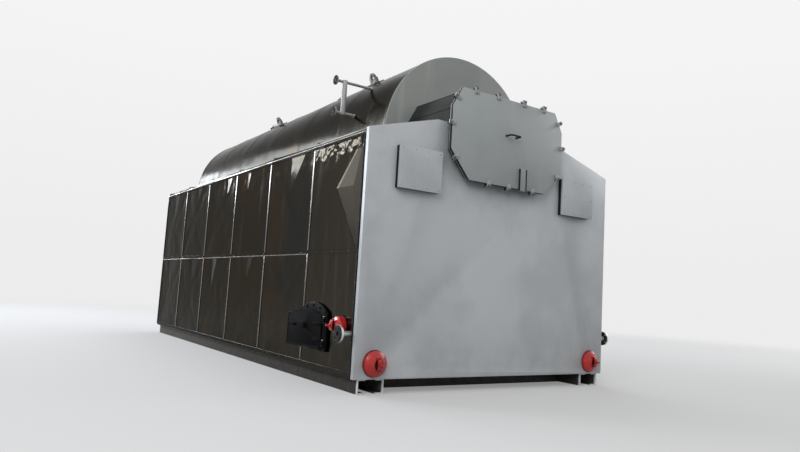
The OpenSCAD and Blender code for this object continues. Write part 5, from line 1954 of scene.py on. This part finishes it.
@dataclass
class Studio:
    """Pale floor and backdrop, soft lamps, even surroundings and the camera."""

    place: Point = (-4.3473, -8.1167, 0.852)
    yaw: float = -33.838
    pitch: float = 5.951
    roll: float = 3.417
    lens: float = 29.34
    surround: float = 0.55
    floor_base: float = 0.38
    floor_lift: float = 0.23
    fade: Pair = (5.0, 17.0)
    horizon: float = 0.84
    overhead: float = 0.96
    windows: tuple[tuple[Point, Point, float, float, float], ...] = (
        ((-4.0, 16.7, 5.5), (-1.0, 3.2, 2.6), 3.4, 2.0, 1.6),
        ((-9.5, 7.3, 7.3), (-1.5, -2.9, 2.1), 4.5, 2.6, 1.0),
        ((-5.8, 11.4, 6.1), (-1.5, 0.0, 2.1), 3.4, 2.2, 1.1))
    window_glow: float = 50.0
    far_share: float = 0.3
    daylight: Trio = (0.86, 0.92, 1.0)
    lamps: tuple[tuple[Point, Point, float, float], ...] = (
        ((-8.5, -9.5, 8.0), (0.0, -1.5, 1.6), 7.0, 700.0),
        ((11.0, -3.5, 7.0), (0.5, -1.0, 1.5), 6.0, 330.0),
        ((-9.0, 5.0, 7.5), (0.0, 1.0, 1.6), 5.0, 200.0),
        ((2.0, 2.0, 11.0), (0.0, 0.5, 0.0), 8.0, 520.0))

    def build(self) -> None:
        """Builds floor, lamps, surroundings and camera."""
        self.floor()
        self.surroundings()
        for k, (spot, aim, size, power) in enumerate(self.lamps):
            self.lamp(f"soft_lamp_{k}", spot, aim, (size, size), power)
        for hand, side, part in (("left", 1.0, 1.0), ("right", -1.0, self.far_share)):
            for k, (spot, aim, w, h, share) in enumerate(self.windows):
                ends = (tuple(Vector(p) * Vector((side, 1, 1))) for p in (spot, aim))
                self.lamp(f"window_lamp_{k}_{hand}", *ends, (w, h),
                          self.window_glow * part * share * w * h).color = self.daylight
        self.camera()
        bpy.context.scene.view_settings.view_transform = "Standard"

    @staticmethod
    def lamp(name: str, spot: Point, aim: Point, size: Pair, power: float) -> bpy.types.AreaLight:
        """Hangs one rectangular lamp.

        Args:
            name: Its name.
            spot: Where it hangs.
            aim: The point it faces.
            size: Its width and height.
            power: Its power in watts.

        Returns:
            The lamp's light.
        """
        data = bpy.data.lights.new(name, "AREA")
        data.shape, data.size, data.size_y, data.energy = "RECTANGLE", size[0], size[1], power
        made = bpy.data.objects.new(name, data)
        way = Vector(aim) - Vector(spot)
        made.matrix_world = Matrix.Translation(spot) @ way.to_track_quat("-Z", "Y").to_matrix().to_4x4()
        made.visible_camera = False
        bpy.context.scene.collection.objects.link(made)
        return data

    def floor(self) -> None:
        """A wide plain pale floor."""
        bm = bmesh.new()
        bmesh.ops.create_grid(bm, x_segments=1, y_segments=1, size=60.0)
        mesh = bpy.data.meshes.new("studio_floor")
        bm.to_mesh(mesh)
        bm.free()
        paint = bpy.data.materials.new("studio_floor")
        paint.use_nodes = True
        g = Graph(paint.node_tree)
        shader = paint.node_tree.nodes["Principled BSDF"]
        place = g.node("ShaderNodeTexCoord").outputs["Object"]
        away = g.node("ShaderNodeVectorMath", {0: place}, operation="LENGTH").outputs["Value"]
        far = g.fade(away, *self.fade)
        glow = g.times(self.seen_rays(g), g.spread(far, 0.0, 1.0, self.floor_lift, self.horizon))
        g.feed(shader, {"Base Color": g.blend(far, grey(self.floor_base), grey(0.0)), "Roughness": 0.9,
                        "Specular IOR Level": 0.0, "Emission Color": grey(1.0), "Emission Strength": glow})
        mesh.materials.append(paint)
        floor = bpy.data.objects.new("studio_floor", mesh)
        bpy.context.scene.collection.objects.link(floor)

    @staticmethod
    def seen_rays(g: Graph) -> Socket:
        """Picks the rays that show the background: straight, in gloss and through glass.

        Args:
            g: The material's or the world's graph.

        Returns:
            1 for those rays, 0 for the others.
        """
        paths = g.node("ShaderNodeLightPath")
        both = g.maths("MAXIMUM", paths.outputs["Is Camera Ray"], paths.outputs["Is Glossy Ray"])
        return g.maths("MAXIMUM", both, paths.outputs["Is Transmission Ray"])

    def surroundings(self) -> None:
        """Even light from all round, seen as near white by the camera."""
        world = bpy.data.worlds.new("studio_world")
        world.use_nodes = True
        world.node_tree.nodes.clear()
        g = Graph(world.node_tree)
        around = g.node("ShaderNodeBackground", {"Color": tone(0.80, 0.81, 0.82), "Strength": self.surround})
        way = g.split(g.node("ShaderNodeTexCoord").outputs["Generated"])
        rise = g.spread(way["Z"], 0.0, 0.7, self.horizon, self.overhead)
        seen = g.node("ShaderNodeBackground", {"Color": grey(1.0), "Strength": rise})
        mix = g.node("ShaderNodeMixShader", {0: self.seen_rays(g), 1: around.outputs[0], 2: seen.outputs[0]})
        g.node("ShaderNodeOutputWorld", {0: mix.outputs[0]})
        bpy.context.scene.world = world

    def camera(self) -> None:
        """Places the camera where the photograph was taken from."""
        yaw, pitch, roll = (math.radians(v) for v in (self.yaw, self.pitch, self.roll))
        ahead = Vector((-math.sin(yaw) * math.cos(pitch), math.cos(yaw) * math.cos(pitch), math.sin(pitch)))
        right = Vector((math.cos(yaw), math.sin(yaw), 0))
        up = right.cross(ahead)
        leaned = math.cos(roll) * right + math.sin(roll) * up
        raised = math.cos(roll) * up - math.sin(roll) * right
        data = bpy.data.cameras.new("camera")
        data.lens, data.sensor_width, data.sensor_fit = self.lens, 36.0, "HORIZONTAL"
        data.clip_end = 200.0
        eye = bpy.data.objects.new("camera", data)
        turn = Matrix((leaned, raised, -ahead)).transposed().to_4x4()
        eye.matrix_world = Matrix.Translation(self.place) @ turn
        bpy.context.scene.collection.objects.link(eye)
        bpy.context.scene.camera = eye


def main() -> None:
    """Builds the boiler's dressed pieces in order, then the studio, and logs the number of pieces."""
    logging.basicConfig(level=logging.INFO, format="%(name)s: %(message)s")
    bench = Bench(Paintbox())
    for assembly in (BaseFrame, FrontAndRear, SideCladding, CladdingTrims, RoofSheets, DrumCladding, SmokeBox, Hatches,
                     Headers, Blowdown, FireDoors, DrumFittings):
        assembly(bench).build()
    Studio().build()
    LOG.info("%d pieces", bench.count)


if __name__ == "__main__":
    main()
